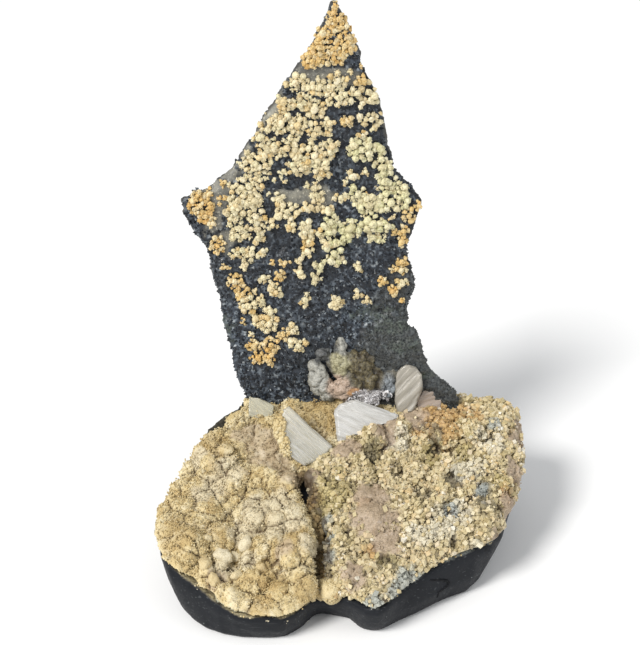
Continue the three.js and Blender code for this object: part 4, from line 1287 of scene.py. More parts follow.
# %% Zones of the left crust, as x, y and radius in millimetres
LEFT_PALE = [
    [-49, -26, 9], [-50, -38, 8], [-59, -39, 6.5], [-65, -7, 8], [-73, -13, 8.5], [-81, -19, 5.5],
    [-66, -61, 6.5], [-54, -56, 4.5], [-20, -52, 6], [-84, 2, 5], [-36, -24, 9], [-38, -40, 9],
    [-28, -36, 7],
]
LEFT_MAUVE = [
    [-47, 12, 11.5], [-38, 3, 8], [-54, 22, 7], [-60, 18, 6], [-31, -7, 7], [-70, -68, 5], [-33, -55, 5],
]
LEFT_OCHRE = [
    [-74, 8, 10.5], [-91, -46, 11], [-72, -43, 7.5], [-22, -75, 6.5], [-25, -49, 9], [-46, -83, 7.5],
    [-8, 35, 13], [-20, 32, 8], [-38, -68, 8], [-12, -60, 6],
]
left_spots = spots_of(left_mesh)


def spread_out(numbers, spots, seed):
    """Numbers around a half, spread towards 0 and 1, and leaning up or down in wide drifts."""
    leaning = 0.26 * rough_drift(spots, 15 * MM, seed) + 0.12 * rough_drift(spots, 5 * MM, seed + 9)
    return np.clip(0.55 + 1.1 * (numbers - 0.5) + leaning, 0, 1)


left_zones = {
    "pale": round_patches(left_spots, LEFT_PALE, 0.35, 601),
    "mauve": round_patches(left_spots, LEFT_MAUVE, 0.3, 607),
    "ochre": round_patches(left_spots, LEFT_OCHRE, 0.35, 613),
    "cell": spread_out(0.5 * bud_owner + 0.3 * knob_owner + 0.2 * lump_owner, left_spots, 617),
    "hollow": left_hollow,
    "edge": left_edge,
}
for name, numbers in left_zones.items():
    note(left_mesh, name, numbers)
print("left zones, their means:", [(name, zone.mean().round(2)) for name, zone in left_zones.items()])

# %% [markdown]
# ## Granules on the left crust
#
# From a step away the lumps look sandy, because each is paved with granules about a millimetre wide.
# They sit on the outer sides of the lumps and leave the creases open, so that small dark gaps remain.
# Where the crust is smooth and mauve, near the long blade, there are fewer of them.

# %% Set granules on a crust
def granules(name, mesh, zones, chance, kinds, seed):
    """kinds is a list of (grain, count, smallest, largest), sizes in millimetres."""
    dice = np.random.default_rng(seed)
    spots, normals = spots_of(mesh), normals_of(mesh)
    parts = []
    for grain, count, smallest, largest in kinds:
        here = chosen_vertices(dice, chance, count)
        sizes = (smallest + (largest - smallest) * dice.random(len(here)) ** 1.5) * MM
        nudge = 0.45 * MM * dice.normal(size=(len(here), 3))
        places = spots[here] + nudge + normals[here] * (0.25 * sizes)[:, None]
        stretch = sizes[:, None] * (1 + 0.18 * dice.normal(size=(len(here), 3)))
        numbers = {key: value[here] for key, value in zones.items()}
        numbers["cell"] = np.clip(0.6 * numbers["cell"] + 0.42 * dice.random(len(here)), 0, 1)
        # grains in hollows keep three quarters of the painted shade of the skin below them
        numbers["hollow"] = 0.75 * numbers["hollow"]
        parts.append((grain, places, random_turns(dice, len(here)), stretch, numbers))
    return joined_grains(name, parts, smooth=True)


LOWEST_GRAIN = 16 * MM  # no grain grows on a crust below this height, where it lies on the foot
open_to_light = (1 - 0.7 * np.clip(left_zones["hollow"], 0, 1)) * (left_spots[:, 2] > LOWEST_GRAIN)
visible = eased(normals_of(left_mesh)[:, 2], -0.35, 0.15) * (1 - 0.85 * left_rim)
chance = open_to_light * visible * (1 - 0.7 * left_zones["mauve"]) * (1 - 0.35 * left_zones["pale"])
left_grains = granules("left_granules", left_mesh, left_zones, chance, [
    (ball_grain(1, 0.2, 701), 3300, 0.42, 0.80), (speck_grain(), 12200, 0.30, 0.62),
], 701)
print("granules on the left crust:", len(left_grains.polygons), "triangles")

# %% [markdown]
# ## Colours of the crusts
#
# The tan of the crusts is never one tan. Each bud and each granule takes its own step on a ramp from
# brown through ochre to cream, wide drifts lean that ramp one way or the other, and named patches
# turn pale, ochre or mauve. Creases are brown with dust and iron, and darker with painted shade, and
# the low points of the bump are painted dark brown as shade. The very edge that lies on the basalt is a
# thin line of greyish green chalcedony.

# %% The material of the left crust
tan_calcite, tree, shader = new_material("tan_calcite", Specular_IOR_Level=0.35, IOR=1.5)
fine = placed_group(tree, grit, Size=1500.0)
coarse = placed_group(tree, grit, Size=220.0)
step_number = combined(tree, "MULTIPLY_ADD", fine.outputs["Grains"], 0.3, read_number(tree, "cell"))
tan = colour_steps(tree, ranged(tree, step_number, 0.0, 1.3), [
    (0.0, (0.18, 0.11, 0.045)), (0.18, (0.45, 0.32, 0.14)), (0.42, (0.62, 0.495, 0.255)),
    (0.7, (0.74, 0.64, 0.405)), (1.0, (0.83, 0.775, 0.605)),
])
tan = tinted(tree, tan, coarse.outputs["Patches"], 0.30, (0.60, 0.46, 0.23))
ochre = mixed_colour(tree, fine.outputs["Grains"], (0.30, 0.19, 0.07), (0.60, 0.44, 0.19))
tan = tinted(tree, tan, read_number(tree, "ochre"), 0.45, ochre)
pale = mixed_colour(tree, fine.outputs["Grains"], (0.52, 0.44, 0.29), (0.78, 0.71, 0.54))
tan = tinted(tree, tan, read_number(tree, "pale"), 0.72, pale)
mauve = mixed_colour(tree, coarse.outputs["Grains"], (0.36, 0.28, 0.19), (0.55, 0.44, 0.33))
tan = tinted(tree, tan, read_number(tree, "mauve"), 0.65, mauve)
edge_colour = mixed_colour(tree, fine.outputs["Grains"], (0.12, 0.14, 0.12), (0.46, 0.46, 0.36))
# painted shade: where the bump is low, between the grains, the tan turns dark brown
tan = mixed_colour(tree, ranged(tree, fine.outputs["Height"], 0.50, 0.38, 0.0, 0.6), tan, (0.20, 0.12, 0.05))
tan = mixed_colour(tree, read_number(tree, "edge"), tan, edge_colour)
# painted shade with dust and iron: the tan turns brown in its creases
shade_hollows(tree, shader, tan, (0.105, 0.062, 0.026), 0.85)
wire(tree, ranged(tree, fine.outputs["Grains"], 0, 1, 0.6, 0.85), shader.inputs["Roughness"])
raised(tree, shader, fine.outputs["Height"], 0.5 * MM, 1.0)
show("left_crust_lumps", left_mesh, tan_calcite, "tan_calcite", "left_crust")
show("left_crust_granules", left_grains, tan_calcite, "tan_calcite")

# %% [markdown]
# ## Lumps, sand and chips
#
# A few pale lumps stand out near the front of the left crust, as if broken loose and grown fast again.
# Calcite sand trickled over the edge onto the basalt, and a handful of pale chips stick to its wall.
# None of them is worth an object of its own, so they are three more grain shapes in one mesh. Each is
# set down by a ray or by the nearest place on the surface below it, because a place typed in by hand
# would float or sink.

# %% The numbers that the tan material reads, zero unless given
TAN_NUMBERS = ("pale", "mauve", "ochre", "cell", "hollow", "edge")


def tan_numbers(count, **given):
    return {**{name: np.zeros(count) for name in TAN_NUMBERS}, **given}


print("numbers of a tan grain:", list(tan_numbers(1)))

# %% Pale lumps, as x, y, radius in millimetres and paleness
LOOSE_LUMPS = [
    [-67.2, -54.2, 5.2, 0.95], [-60.5, -51, 3.6, 0.85], [-55.4, -47.5, 4.4, 0.9], [-75.7, -47.5, 2.6, 0.55],
    [-76.8, -60, 4.6, 0.35], [-59.1, -65.5, 3.4, 0.5], [-71.4, -69.6, 3.6, 0.3], [-45.6, -59.4, 3.8, 0.25],
]
dice = np.random.default_rng(727)
left_tree = tree_of(left_mesh)
lump_tops = []
for x, y, radius, _ in LOOSE_LUMPS:
    hit = left_tree.ray_cast(Vector((x, y, 150)) * MM, Vector((0, 0, -1)))[0]
    lump_tops.append([x * MM, y * MM, hit.z + 0.15 * radius * MM])
sizes = np.array([[r, 0.8 * r, 0.75 * r] for _, _, r, _ in LOOSE_LUMPS]) * MM
tones = np.array([tone for *_, tone in LOOSE_LUMPS])
numbers = tan_numbers(len(LOOSE_LUMPS), cell=tones, pale=tones)
loose = (ball_grain(3, 0.34, 733), np.array(lump_tops), random_turns(dice, len(LOOSE_LUMPS)), sizes, numbers)
print("loose lumps lie", np.round(np.array(lump_tops)[:, 2] / MM, 1), "mm up")

# %% Sand along the upper edge of the wall
WALL_SAND = 1200
foot_normals = normals_of(foot_mesh)
outer_edge = pale_line * (np.abs(foot_normals[:, 2]) < 0.75) * (foot_spots[:, 1] < -10 * MM)
here = chosen_vertices(dice, np.where(outer_edge > 0.5, outer_edge, 0), WALL_SAND)
sizes = (0.30 + 0.55 * dice.random(len(here)) ** 2) * MM
numbers = tan_numbers(len(here), ochre=dice.random(len(here)), cell=0.3 + 0.7 * dice.random(len(here)))
sand = (speck_grain(), foot_spots[here], random_turns(dice, len(here)), sizes, numbers)
print("grains of sand on the wall's edge:", len(here))

# %% Chips on the wall, three to each place, as x, y and z in millimetres
CHIPS = [
    [-80.7, -68.6, 29.1], [-79.6, -69.4, 28.4], [-41.7, -87.5, 18.7], [-31.6, -84.4, 16.0],
    [-57, -79.9, 20.6],
]
foot_tree = tree_of(foot_mesh)
chips = np.repeat(np.array(CHIPS), 3, axis=0) + 0.7 * dice.normal(size=(3 * len(CHIPS), 3))
chips = np.array([foot_tree.find_nearest(Vector(chip) * MM)[0][:] for chip in chips])
sizes = np.array([0.55, 0.42, 0.30] * len(CHIPS))[:, None] * [1.5, 1.0, 0.6] * MM
numbers = tan_numbers(len(chips), cell=np.ones(len(chips)), pale=np.ones(len(chips)))
flakes = (speck_grain(), chips, random_turns(dice, len(chips)), sizes, numbers)
loose_mesh = joined_grains("loose_lumps", [loose, sand, flakes], smooth=True)
show("loose_lumps", loose_mesh, tan_calcite, "tan_calcite")

# %% [markdown]
# ## The worm-like groove
#
# On the right side of the wall runs a crooked groove, like the track of a worm, dark with shade. A
# boolean could cut it, but the foot's net is coarser than the groove is wide. So its shade is painted: it
# is a chain of small dark beads along a curve of eight listed points, half sunk in the basalt, each taking
# the full painted shade of a hollow. A drift makes the chain tremble, and each bead is pulled to the
# nearest place on the wall.

# %% A chain of dark beads pressed into the basalt, as painted shade of the groove
GROOVE_BEADS = 96
GROOVE = np.array([
    [46.9, -57.9, 23.1], [52.8, -54.5, 20.6], [56.4, -52.4, 18.1], [58.2, -51.5, 15.2], [57.1, -52.3, 13.5],
    [54.2, -54.3, 12.9], [51.9, -55.9, 12.1], [51.5, -54.9, 8.4],
])
stretches = np.linalg.norm(np.diff(GROOVE, axis=0), axis=1)
steps = np.linspace(0, stretches.sum(), GROOVE_BEADS)
marks = np.concatenate([[0], np.cumsum(stretches)])
chain = np.stack([np.interp(steps, marks, GROOVE[:, k]) for k in range(3)], axis=1)
chain = chain + 0.5 * np.stack([drift(chain, 2.5, 741 + k) for k in range(3)], axis=1)
chain = np.array([foot_tree.find_nearest(Vector(bead) * MM)[0][:] for bead in chain])
sizes = (0.42 + 0.5 * np.sin(np.linspace(0, 3.1, len(chain))) + 0.15 * dice.random(len(chain))) * MM
# painted shade: every bead counts as lying in a deep hollow
numbers = {"hollow": np.ones(len(chain)), "rim": np.zeros(len(chain)), "right_side": np.ones(len(chain))}
groove = (speck_grain(), chain, random_turns(dice, len(chain)), sizes, numbers)
show("wall_groove", joined_grains("wall_groove", [groove], smooth=True), basalt, "basalt")
print("the mark is", round(float(stretches.sum()), 1), "mm long")

# %% [markdown]
# ## The right crust
#
# The right crust is another habit of the same mineral. Instead of round buds it is a rubble of small
# blocky crystals, two to four millimetres long, in cream, honey, olive, brown and white, with a
# smooth mauve patch in the middle. Its skin gets sharper cells than the left one, and the grains on
# it are little skewed blocks, because calcite breaks and grows as leaning cubes.

# %% The right crust's net, with its smooth patches, pits and brown knobs as x, y and radius
RIGHT_MAUVE = [
    [15, -22, 11], [18, -36, 12], [22, -46, 8], [5, -64, 7], [1, 9, 8], [24, 19, 8],
    [-21, -9, 7], [42, 31, 7], [101, 19, 6], [98, 0, 5.5], [94, -19, 5.5], [105, 32, 6], [89, -37, 6],
]
RIGHT_PITS = [
    [44, -20, 5], [62, -9, 6], [79, -25, 4], [22, -58, 4], [50, 8, 5], [30, -4, 5], [15, 6, 4], [60, -45, 4],
]
BROWN_KNOBS = [[59, 20, 7], [-17, -21, 5], [-6, -76, 6]]
right_mesh, right_rim = crust_net("right_crust", 7, 1)
print("share of the right crust that is rim:", round(float(right_rim.mean()), 3))

# %% Mounds, humps, blocks and chunks
spots = spots_of(right_mesh)
shown = eased(normals_of(right_mesh)[:, 2], -0.5, 0.1)
smooth_patch = round_patches(spots, RIGHT_MAUVE, 0.45, 811)
big_patch = round_patches(spots, RIGHT_MAUVE[:3], 0.3, 811)
warped = spots + 2.0 * MM * np.stack([drift(spots, 8 * MM, 803 + k) for k in range(3)], axis=1)
mounds = bulges(warped, 12.0, 4.0, 821)[0]
humps = bulges(warped, 6.0, 1.8, 822)[0]
_, block_border, block_owner = cells(spots, 3.3 * MM, 823)
_, chunk_border, chunk_owner = cells(spots, 1.8 * MM, 827)
rubble = 1.7 * (block_owner - 0.5) - 1.2 * eased(-block_border, -0.16, 0.0)
rubble = rubble + 0.9 * (chunk_owner - 0.5) - 0.45 * eased(-chunk_border, -0.2, 0.0)
pits = 3.2 * round_patches(spots, RIGHT_PITS, 0.3, 819)
brown_knob = 2.6 * round_patches(spots, BROWN_KNOBS, 0.25, 817)
rubble = rubble * (1 - 0.75 * smooth_patch) + brown_knob - pits
push = shown * ((mounds + humps) * (1 - 0.65 * big_patch) + 1.3 * big_patch + rubble) - 0.6
push = push * (1 - 0.6 * right_rim) - 0.6 * right_rim
move_to(right_mesh, spots + normals_of(right_mesh) * (push * MM)[:, None])
print("right crust skin:", len(right_mesh.vertices), "vertices")

# %% Zones of the right crust
right_spots = spots_of(right_mesh)
right_zones = {
    "mauve": round_patches(right_spots, RIGHT_MAUVE, 0.45, 811),
    "ochre": round_patches(right_spots, [
        [-17, -21, 4.5], [10, -26, 3.5], [63, 37, 10.5], [74, 34, 8], [51, 31, 6], [91, -16, 4.5],
        [56, 22, 7], [43, 21, 4], [59, 20, 8], [-8, -76, 7], [14, -52, 4],
    ], 0.35, 829),
    "olive": round_patches(right_spots, [
        [-7, -18, 11.5], [69, 7, 6], [75, -7, 4], [73, -48, 4], [88, -10, 4], [16, -30, 6.5],
        [15, 6, 5], [22, -58, 5], [50, 8, 6],
    ], 0.4, 839),
    # darker colour, and painted shade where these patches lie over the pits
    "dark": round_patches(right_spots, [
        [44, -20, 5], [62, -10, 6], [79, -25, 5], [15, 6, 4.5], [22, -58, 4.5], [78, -16, 5], [59, -29, 4],
        [53, 15, 4],
    ], 0.5, 853),
    "pale": round_patches(right_spots, [
        [72, -4, 8], [84, 12, 7], [32, 12, 6], [53, -37, 9], [74, -52, 7.5], [40, -44, 6], [66, -30, 6],
    ], 0.4, 857),
    "blue": round_patches(right_spots, [
        [36, -68, 8.5], [29, -75, 6.5], [16, -85, 7], [46, -65, 5.5], [0, -88, 5.5], [78, -16, 3.5],
        [59, -29, 4], [88, 24, 4], [-10, -33, 4], [-8, -42, 4], [-9, -52, 4],
    ], 0.3, 859),
    "cell": spread_out(0.5 * block_owner + 0.5 * chunk_owner, right_spots, 863),
    "hollow": deep_and_fine(right_mesh),
    "edge": rim_edge(right_mesh),
}
for name, numbers in right_zones.items():
    note(right_mesh, name, numbers)
print("right zones, their means:", [(name, zone.mean().round(2)) for name, zone in right_zones.items()])

# %% [markdown]
# ## Blocks and specks on the right crust
#
# The rubble of the skin gives the mounds and pits. The single crystals on it are real blocks: a third
# of them lean a little, a third lean more, and a third are jagged lumps, with many small ones and few
# large ones. Four of five take the colours of the patch that they stand on, and the others keep their
# own, which is what makes the crust sparkle in so many tans. Specks fill in between.


# %% Blocks on the right crust
def little_blocks(name, mesh, zones, count, smallest, largest, chance, seed):
    dice = np.random.default_rng(seed)
    spots, normals = spots_of(mesh), normals_of(mesh)
    here = chosen_vertices(dice, chance, count)
    parts = []
    for kind in range(3):
        own = here[kind::3]
        sizes = (smallest + (largest - smallest) * dice.random(len(own)) ** 2.8) * MM
        places = spots[own] + normals[own] * (0.25 * sizes)[:, None]
        stretch = sizes[:, None] * (1 + 0.25 * dice.random((len(own), 3)))
        strays = dice.random(len(own)) < 0.8
        numbers = {key: value[own] * strays for key, value in zones.items()}
        numbers["cell"] = np.clip(0.3 * zones["cell"][own] + 0.75 * dice.random(len(own)), 0, 1)
        # blocks in hollows keep three quarters of the painted shade of the skin below them
        numbers["hollow"] = 0.75 * zones["hollow"][own]
        shape = (block_grain(0.25), block_grain(0.5), ball_grain(1, 0.45, seed))[kind]
        parts.append((shape, places, random_turns(dice, len(own)), stretch, numbers))
    return joined_grains(name, parts, smooth=False)


open_to_light = (1 - 0.6 * np.clip(right_zones["hollow"], 0, 1)) * (right_spots[:, 2] > LOWEST_GRAIN)
visible = eased(normals_of(right_mesh)[:, 2], -0.35, 0.15) * (1 - 0.9 * right_rim)
chance = open_to_light * visible * (1 - 0.93 * right_zones["mauve"]) * (1 - 0.6 * right_zones["blue"])
right_blocks = little_blocks("right_blocks", right_mesh, right_zones, 6000, 0.34, 1.20, chance, 907)
right_specks = granules(
    "right_specks", right_mesh, right_zones, chance, [(speck_grain(), 5600, 0.30, 0.60)], 911
)
print("blocks and specks:", len(right_blocks.polygons), len(right_specks.polygons), "triangles")

# %% [markdown]
# ## Honey calcite
#
# The ramp of this crust goes further down than the tan one, to a dark brown, and ends in near white.
# Six kinds of patch lie over it, each with two colours that a fine noise mixes. They are a table, so
# the loop below stays one line per layer. The mauve patch is a little glossier than the rest.

# %% The material of the right crust
honey_calcite, tree, shader = new_material("honey_calcite", Specular_IOR_Level=0.5, IOR=1.5)
fine = placed_group(tree, grit, Size=1300.0)
coarse = placed_group(tree, grit, Size=240.0)
honey = colour_steps(tree, read_number(tree, "cell"), [
    (0.0, (0.11, 0.07, 0.04)), (0.10, (0.28, 0.22, 0.10)), (0.26, (0.50, 0.41, 0.21)),
    (0.50, (0.63, 0.53, 0.31)), (0.74, (0.73, 0.64, 0.43)), (0.88, (0.68, 0.50, 0.24)),
    (1.0, (0.86, 0.83, 0.74)),
])
honey = tinted(tree, honey, coarse.outputs["Patches"], 0.4, (0.48, 0.40, 0.25))
HONEY_LOOKS = (
    ("ochre", 0.72, (0.32, 0.15, 0.04), (0.68, 0.44, 0.16)),
    ("olive", 0.7, (0.20, 0.155, 0.055), (0.58, 0.485, 0.21)),
    # the dark patches: a darker colour, and painted shade where they lie over the pits
    ("dark", 0.78, (0.055, 0.05, 0.035), (0.26, 0.22, 0.14)),
    ("pale", 0.6, (0.56, 0.51, 0.38), (0.84, 0.82, 0.73)),
    ("mauve", 0.85, (0.25, 0.18, 0.125), (0.47, 0.36, 0.265)),
    ("blue", 0.75, (0.13, 0.17, 0.18), (0.56, 0.60, 0.58)),
)
for zone, amount, low_colour, high_colour in HONEY_LOOKS:
    zone_colour = mixed_colour(tree, fine.outputs["Grains"], low_colour, high_colour)
    honey = tinted(tree, honey, read_number(tree, zone), amount, zone_colour)
edge_colour = mixed_colour(tree, fine.outputs["Grains"], (0.12, 0.15, 0.15), (0.50, 0.52, 0.46))
honey = mixed_colour(tree, read_number(tree, "edge"), honey, edge_colour)
# painted shade with dust and iron: the honey turns dark brown in its pits and creases
shade_hollows(tree, shader, honey, (0.045, 0.028, 0.014), 0.9)
rough = ranged(tree, fine.outputs["Grains"], 0, 1, 0.45, 0.75)
rough = combined(tree, "MULTIPLY_ADD", read_number(tree, "mauve"), -0.2, rough)
wire(tree, rough, shader.inputs["Roughness"])
raised(tree, shader, fine.outputs["Height"], 0.45 * MM, 0.9)
show("right_crust_rubble", right_mesh, honey_calcite, "honey_calcite", "right_crust")
show("right_crust_blocks", right_blocks, honey_calcite, "honey_calcite")
show("right_crust_specks", right_specks, honey_calcite, "honey_calcite")

# %% [markdown]
# ## Rubble in the cleft
#
# Between the crusts lies a narrow dark gap with broken bits on its floor, and at the front a big tan
# lump fills its mouth. Were the gap left empty, bare basalt would show. The bits are dropped by rays
# from above onto the foot, and raised by up to a few millimetres as if they lay on each other. The
# lumps are two balls with granules on the side that faces the front.

# %% Bits on the floor of the cleft
FLOOR_Y, FLOOR_X = [-81, -63, -45, -29, -15], [-11.5, -11.5, -12.5, -16, -20]
CLEFT_BITS = ((ball_grain(1, 0.25, 937), 620, 1.0, 2.8), (speck_grain(), 1700, 0.35, 0.8))
dice = np.random.default_rng(931)
cleft_parts = []
for grain, count, smallest, largest in CLEFT_BITS:
    y = -80 + 62 * dice.random(count)
    line = np.interp(y, FLOOR_Y, FLOOR_X)
    starts = np.stack([line + 2.8 * dice.normal(size=count), y, np.full(count, 120.0)], axis=1) * MM
    found = [foot_tree.ray_cast(Vector(start), Vector((0, 0, -1))) for start in starts]
    tops = np.array([start[:2].tolist() + [hit[0].z] for start, hit in zip(starts, found) if hit[0]])
    count = len(tops)
    sizes = (smallest + (largest - smallest) * dice.random(count) ** 1.5) * MM
    tops[:, 2] += (0.4 + 5.2 * dice.random(count)) * MM
    numbers = tan_numbers(count, ochre=0.6 + 0.4 * dice.random(count), cell=0.15 + 0.8 * dice.random(count))
    # painted shade: the bits take some of the hollows' dark colour, more of it further into the cleft
    numbers["hollow"] = 0.05 + 0.4 * dice.random(count) + 0.35 * (tops[:, 1] > -58 * MM)
    cleft_parts.append((grain, tops, random_turns(dice, count), sizes, numbers))
print("bits in the cleft:", sum(len(part[1]) for part in cleft_parts))

# %% Two big lumps in the mouth of the cleft, as x, y, z and radius, with granules on them
CLEFT_LUMPS = np.array([[-7.5, -66.5, 22.5, 7.0], [-12.5, -61.0, 21, 4.2]]) * MM
owner = np.repeat(np.arange(len(CLEFT_LUMPS)), (480, 160))
aim = np.array([0, -0.7, 0.7]) + 0.8 * dice.normal(size=(len(owner), 3))
aim /= np.linalg.norm(aim, axis=1)[:, None]
depth = 0.93 + 0.07 * dice.random((len(owner), 1))
on_lumps = CLEFT_LUMPS[owner, :3] + aim * CLEFT_LUMPS[owner, 3:] * depth
for grain, places, sizes in (
    (ball_grain(4, 0.16, 941), CLEFT_LUMPS[:, :3], CLEFT_LUMPS[:, 3]),
    (speck_grain(), on_lumps, (0.38 + 0.42 * dice.random(len(owner))) * MM),
):
    count = len(places)
    numbers = tan_numbers(count, ochre=0.4 * dice.random(count), cell=0.4 + 0.35 * dice.random(count))
    cleft_parts.append((grain, places, random_turns(dice, len(places)), sizes, numbers))
show("cleft_rubble", joined_grains("cleft_rubble", cleft_parts, smooth=True), tan_calcite, "tan_calcite")

# %% [markdown]
# ## Growth at the slab's foot
#
# Where the slab rises from the crusts, a cluster of grey and olive lumps fills the corner: a pale
# thumb on the left, a greenish nub, an olive-brown mass with dark streaks down it, a pink one below
# with a rusty spot, and a bluish lump on the right. They grew together and are one solid, so they are
# one skin here, and each region takes the colour of the lump that it belongs to. Regions are given as
# patches on the slab's face: across, up, half width and half height in millimetres.

# %% Regions of the growth
GROWTH_ZONES = {
    "thumb": [[-11, 12, 7, 10], [-14, 20, 5, 6], [3, 34, 4, 7], [-9, 5, 6, 5]],
    "ridge": [[-9, 28, 8, 5], [-5, 30, 5, 4]],
    "nub": [[2, 22, 6, 6], [-1, 26, 4, 4]],
    "olive": [[13, 22, 8, 12], [19, 14, 6, 8], [13, 30, 7, 5]],
    "pink": [[0, 10, 7, 7], [5, 6, 7, 5]],
    "rust": [[9.5, 7, 4, 2.2]],
    "lilac": [[18, 3, 10, 5]],
    "blue": [[29, 8, 4.5, 9], [27, -1, 3.5, 5]],
    "white": [[13, 1.5, 3, 2], [20, 4, 3, 2]],
}
print("regions of the growth:", list(GROWTH_ZONES))

# %% Skin of the growth
GROWTH_COARSE, GROWTH_FINE = 0.9 * MM, 0.62 * MM
growth_mesh = skin_of("slab_foot_growth", GROWTH_COARSE, GROWTH_FINE, 7)
spots = spots_of(growth_mesh)
across, out, up = on_slab(spots)
knobs = bulges(spots, 4.4, 2.5, 1009)[0]
warts = bulges(spots, 2.0, 1.1, 1013)[0]
rough = 0.5 * rough_drift(spots, 2.2 * MM, 1017)
olive = patch(across, up, GROWTH_ZONES["olive"], 0.25, 1024)
streaks = drift(np.stack([across / 2.4, out / 4, up / 10], axis=1), 1.0, 1033)
push = knobs + warts + rough - 0.5 + olive * (2.0 * streaks - 1.3)
move_to(growth_mesh, spots + normals_of(growth_mesh) * (push * MM)[:, None])
across, _, up = on_slab(spots_of(growth_mesh))
note(growth_mesh, "streak", eased(-streaks, 0.0, 0.5))
for seed, (name, places) in enumerate(GROWTH_ZONES.items()):
    note(growth_mesh, name, patch(across, up, places, 0.25, 1021 + seed))
note(growth_mesh, "hollow", hollowness(growth_mesh, 7, 0.6 * MM))
print("the growth's skin moved by", push.min().round(2), "to", push.max().round(2), "mm")

# %% The material of the growth
grey_growth, tree, shader = new_material("grey_growth", Specular_IOR_Level=0.5, IOR=1.52)
fine = placed_group(tree, grit, Size=1200.0)
growth = mixed_colour(tree, fine.outputs["Grains"], (0.045, 0.042, 0.034), (0.20, 0.185, 0.14))
GROWTH_LOOKS = (
    ("thumb", (0.20, 0.20, 0.18), (0.46, 0.45, 0.40)),
    ("ridge", (0.016, 0.018, 0.021), (0.115, 0.12, 0.12)),
    ("nub", (0.20, 0.18, 0.09), (0.48, 0.45, 0.29)),
    ("olive", (0.026, 0.021, 0.010), (0.165, 0.132, 0.062)),
    ("pink", (0.25, 0.18, 0.125), (0.58, 0.44, 0.345)),
    ("rust", (0.24, 0.10, 0.03), (0.50, 0.28, 0.11)),
    ("lilac", (0.12, 0.105, 0.11), (0.70, 0.67, 0.68)),
    ("blue", (0.085, 0.10, 0.12), (0.32, 0.355, 0.38)),
    ("white", (0.44, 0.42, 0.43), (0.90, 0.89, 0.89)),
)
for zone, low_colour, high_colour in GROWTH_LOOKS:
    zone_colour = mixed_colour(tree, fine.outputs["Grains"], low_colour, high_colour)
    growth = tinted(tree, growth, read_number(tree, zone), 0.9, zone_colour)
streak = combined(tree, "MULTIPLY", read_number(tree, "streak"), read_number(tree, "olive"))
growth = tinted(tree, growth, streak, 0.75, (0.022, 0.014, 0.007))
# painted shade: the growth turns dark in its hollows
shade_hollows(tree, shader, growth, (0.02, 0.016, 0.01), 0.9)
wire(tree, ranged(tree, fine.outputs["Grains"], 0, 1, 0.35, 0.65), shader.inputs["Roughness"])
raised(tree, shader, fine.outputs["Height"], 0.3 * MM, 0.6)
show("slab_foot_lumps", growth_mesh, grey_growth, "grey_growth", "slab_foot_growth")

# %% [markdown]
# ## Points in the corner
#
# Below the olive mass sits a small nest of white and lilac crystals, the only place where they stand
# up like needles. It is a patch on the skin of the growth, set with long five-sided cones. They use
# the growth's own material, so they carry all of its numbers, and nearly all of those are zero.

# %% White and lilac points in the corner below the growth
CORNER_POINTS = 330
dice = np.random.default_rng(1051)
growth_spots, growth_normals = spots_of(growth_mesh), normals_of(growth_mesh)
across, _, up = on_slab(growth_spots)
chance = patch(across, up, [[17, 3, 11, 5]], 0.3, 1061) * eased(growth_normals @ SLAB_AXES[1], 0.0, 0.6)
here = chosen_vertices(dice, chance, CORNER_POINTS)
sizes = (0.40 + 0.75 * dice.random(len(here))) * MM
numbers = {name: np.zeros(len(here)) for name in GROWTH_ZONES}
numbers["lilac"] = 0.5 + 0.5 * dice.random(len(here))
numbers["white"] = eased(dice.random(len(here)), 0.25, 0.75)
numbers["hollow"] = np.zeros(len(here))
numbers["streak"] = np.zeros(len(here))
points = (
    point_grain(5, 3.2), growth_spots[here] + growth_normals[here] * (0.6 * sizes)[:, None],
    facing_turns(dice, growth_normals[here], 0.7), sizes, numbers,
)
show("corner_points", joined_grains("corner_points", [points], smooth=False), grey_growth, "grey_growth")

# %% [markdown]
# ## Clear blades
#
# The blades are the youngest crystals and the only clear ones. Each is a flat slab of calcite with
# fine lines along its length, where one layer of growth ended and the next began. The lines are cut
# into the mesh as small steps, so that they catch light from any side. Finer fibres than the net can
# hold are noise in the colour, roughness and bump, stretched along the same direction. The calcite
# itself is partly clear: it has plain transmission, calcite's index of refraction and a little
# absorption. Fully clear, such thin blades would all but vanish, and the real ones are cloudy.

# %% Blades: the way the face looks, the slant of the lines, the colour and the clearness
BLADES = {
    "left_blade": ((-0.1, -0.8, 0.5), -0.62, (0.70, 0.67, 0.52), 0.45),
    "long_blade": ((0.1, -0.75, 0.65), -0.72, (0.90, 0.86, 0.70), 0.5),
    "white_blade": ((0, -0.8, 0.6), -0.38, (0.78, 0.76, 0.71), 0.3),
    "grey_blade": ((-0.15, -0.93, 0.33), 0.85, (0.38, 0.35, 0.295), 0.15),
    "small_blade": ((0.25, -0.8, 0.55), 0.3, (0.46, 0.37, 0.30), 0.2),
}


def blade_directions(faces):
    outward = Vector(faces).normalized()
    sideways = (Vector((1, 0, 0)) - outward * outward.x).normalized()
    return np.array(outward), np.array(sideways), np.array(outward.cross(sideways))


for name, (faces, *_) in BLADES.items():
    print(name, "looks towards", blade_directions(faces)[0].round(2))

# %% [markdown]
# ## Fibres in any direction
#
# A Mapping node turns a pattern by angles, which are hard to find for a blade that leans two ways. Two
# dot products are simpler: one measures Object coordinates along the blade, in wide steps, and one
# measures them across it, in narrow steps. A noise over these two numbers is a bundle of fibres.


# %% The material of a blade
def shades(colour, factor):
    return tuple(min(0.93, factor * channel) for channel in colour)


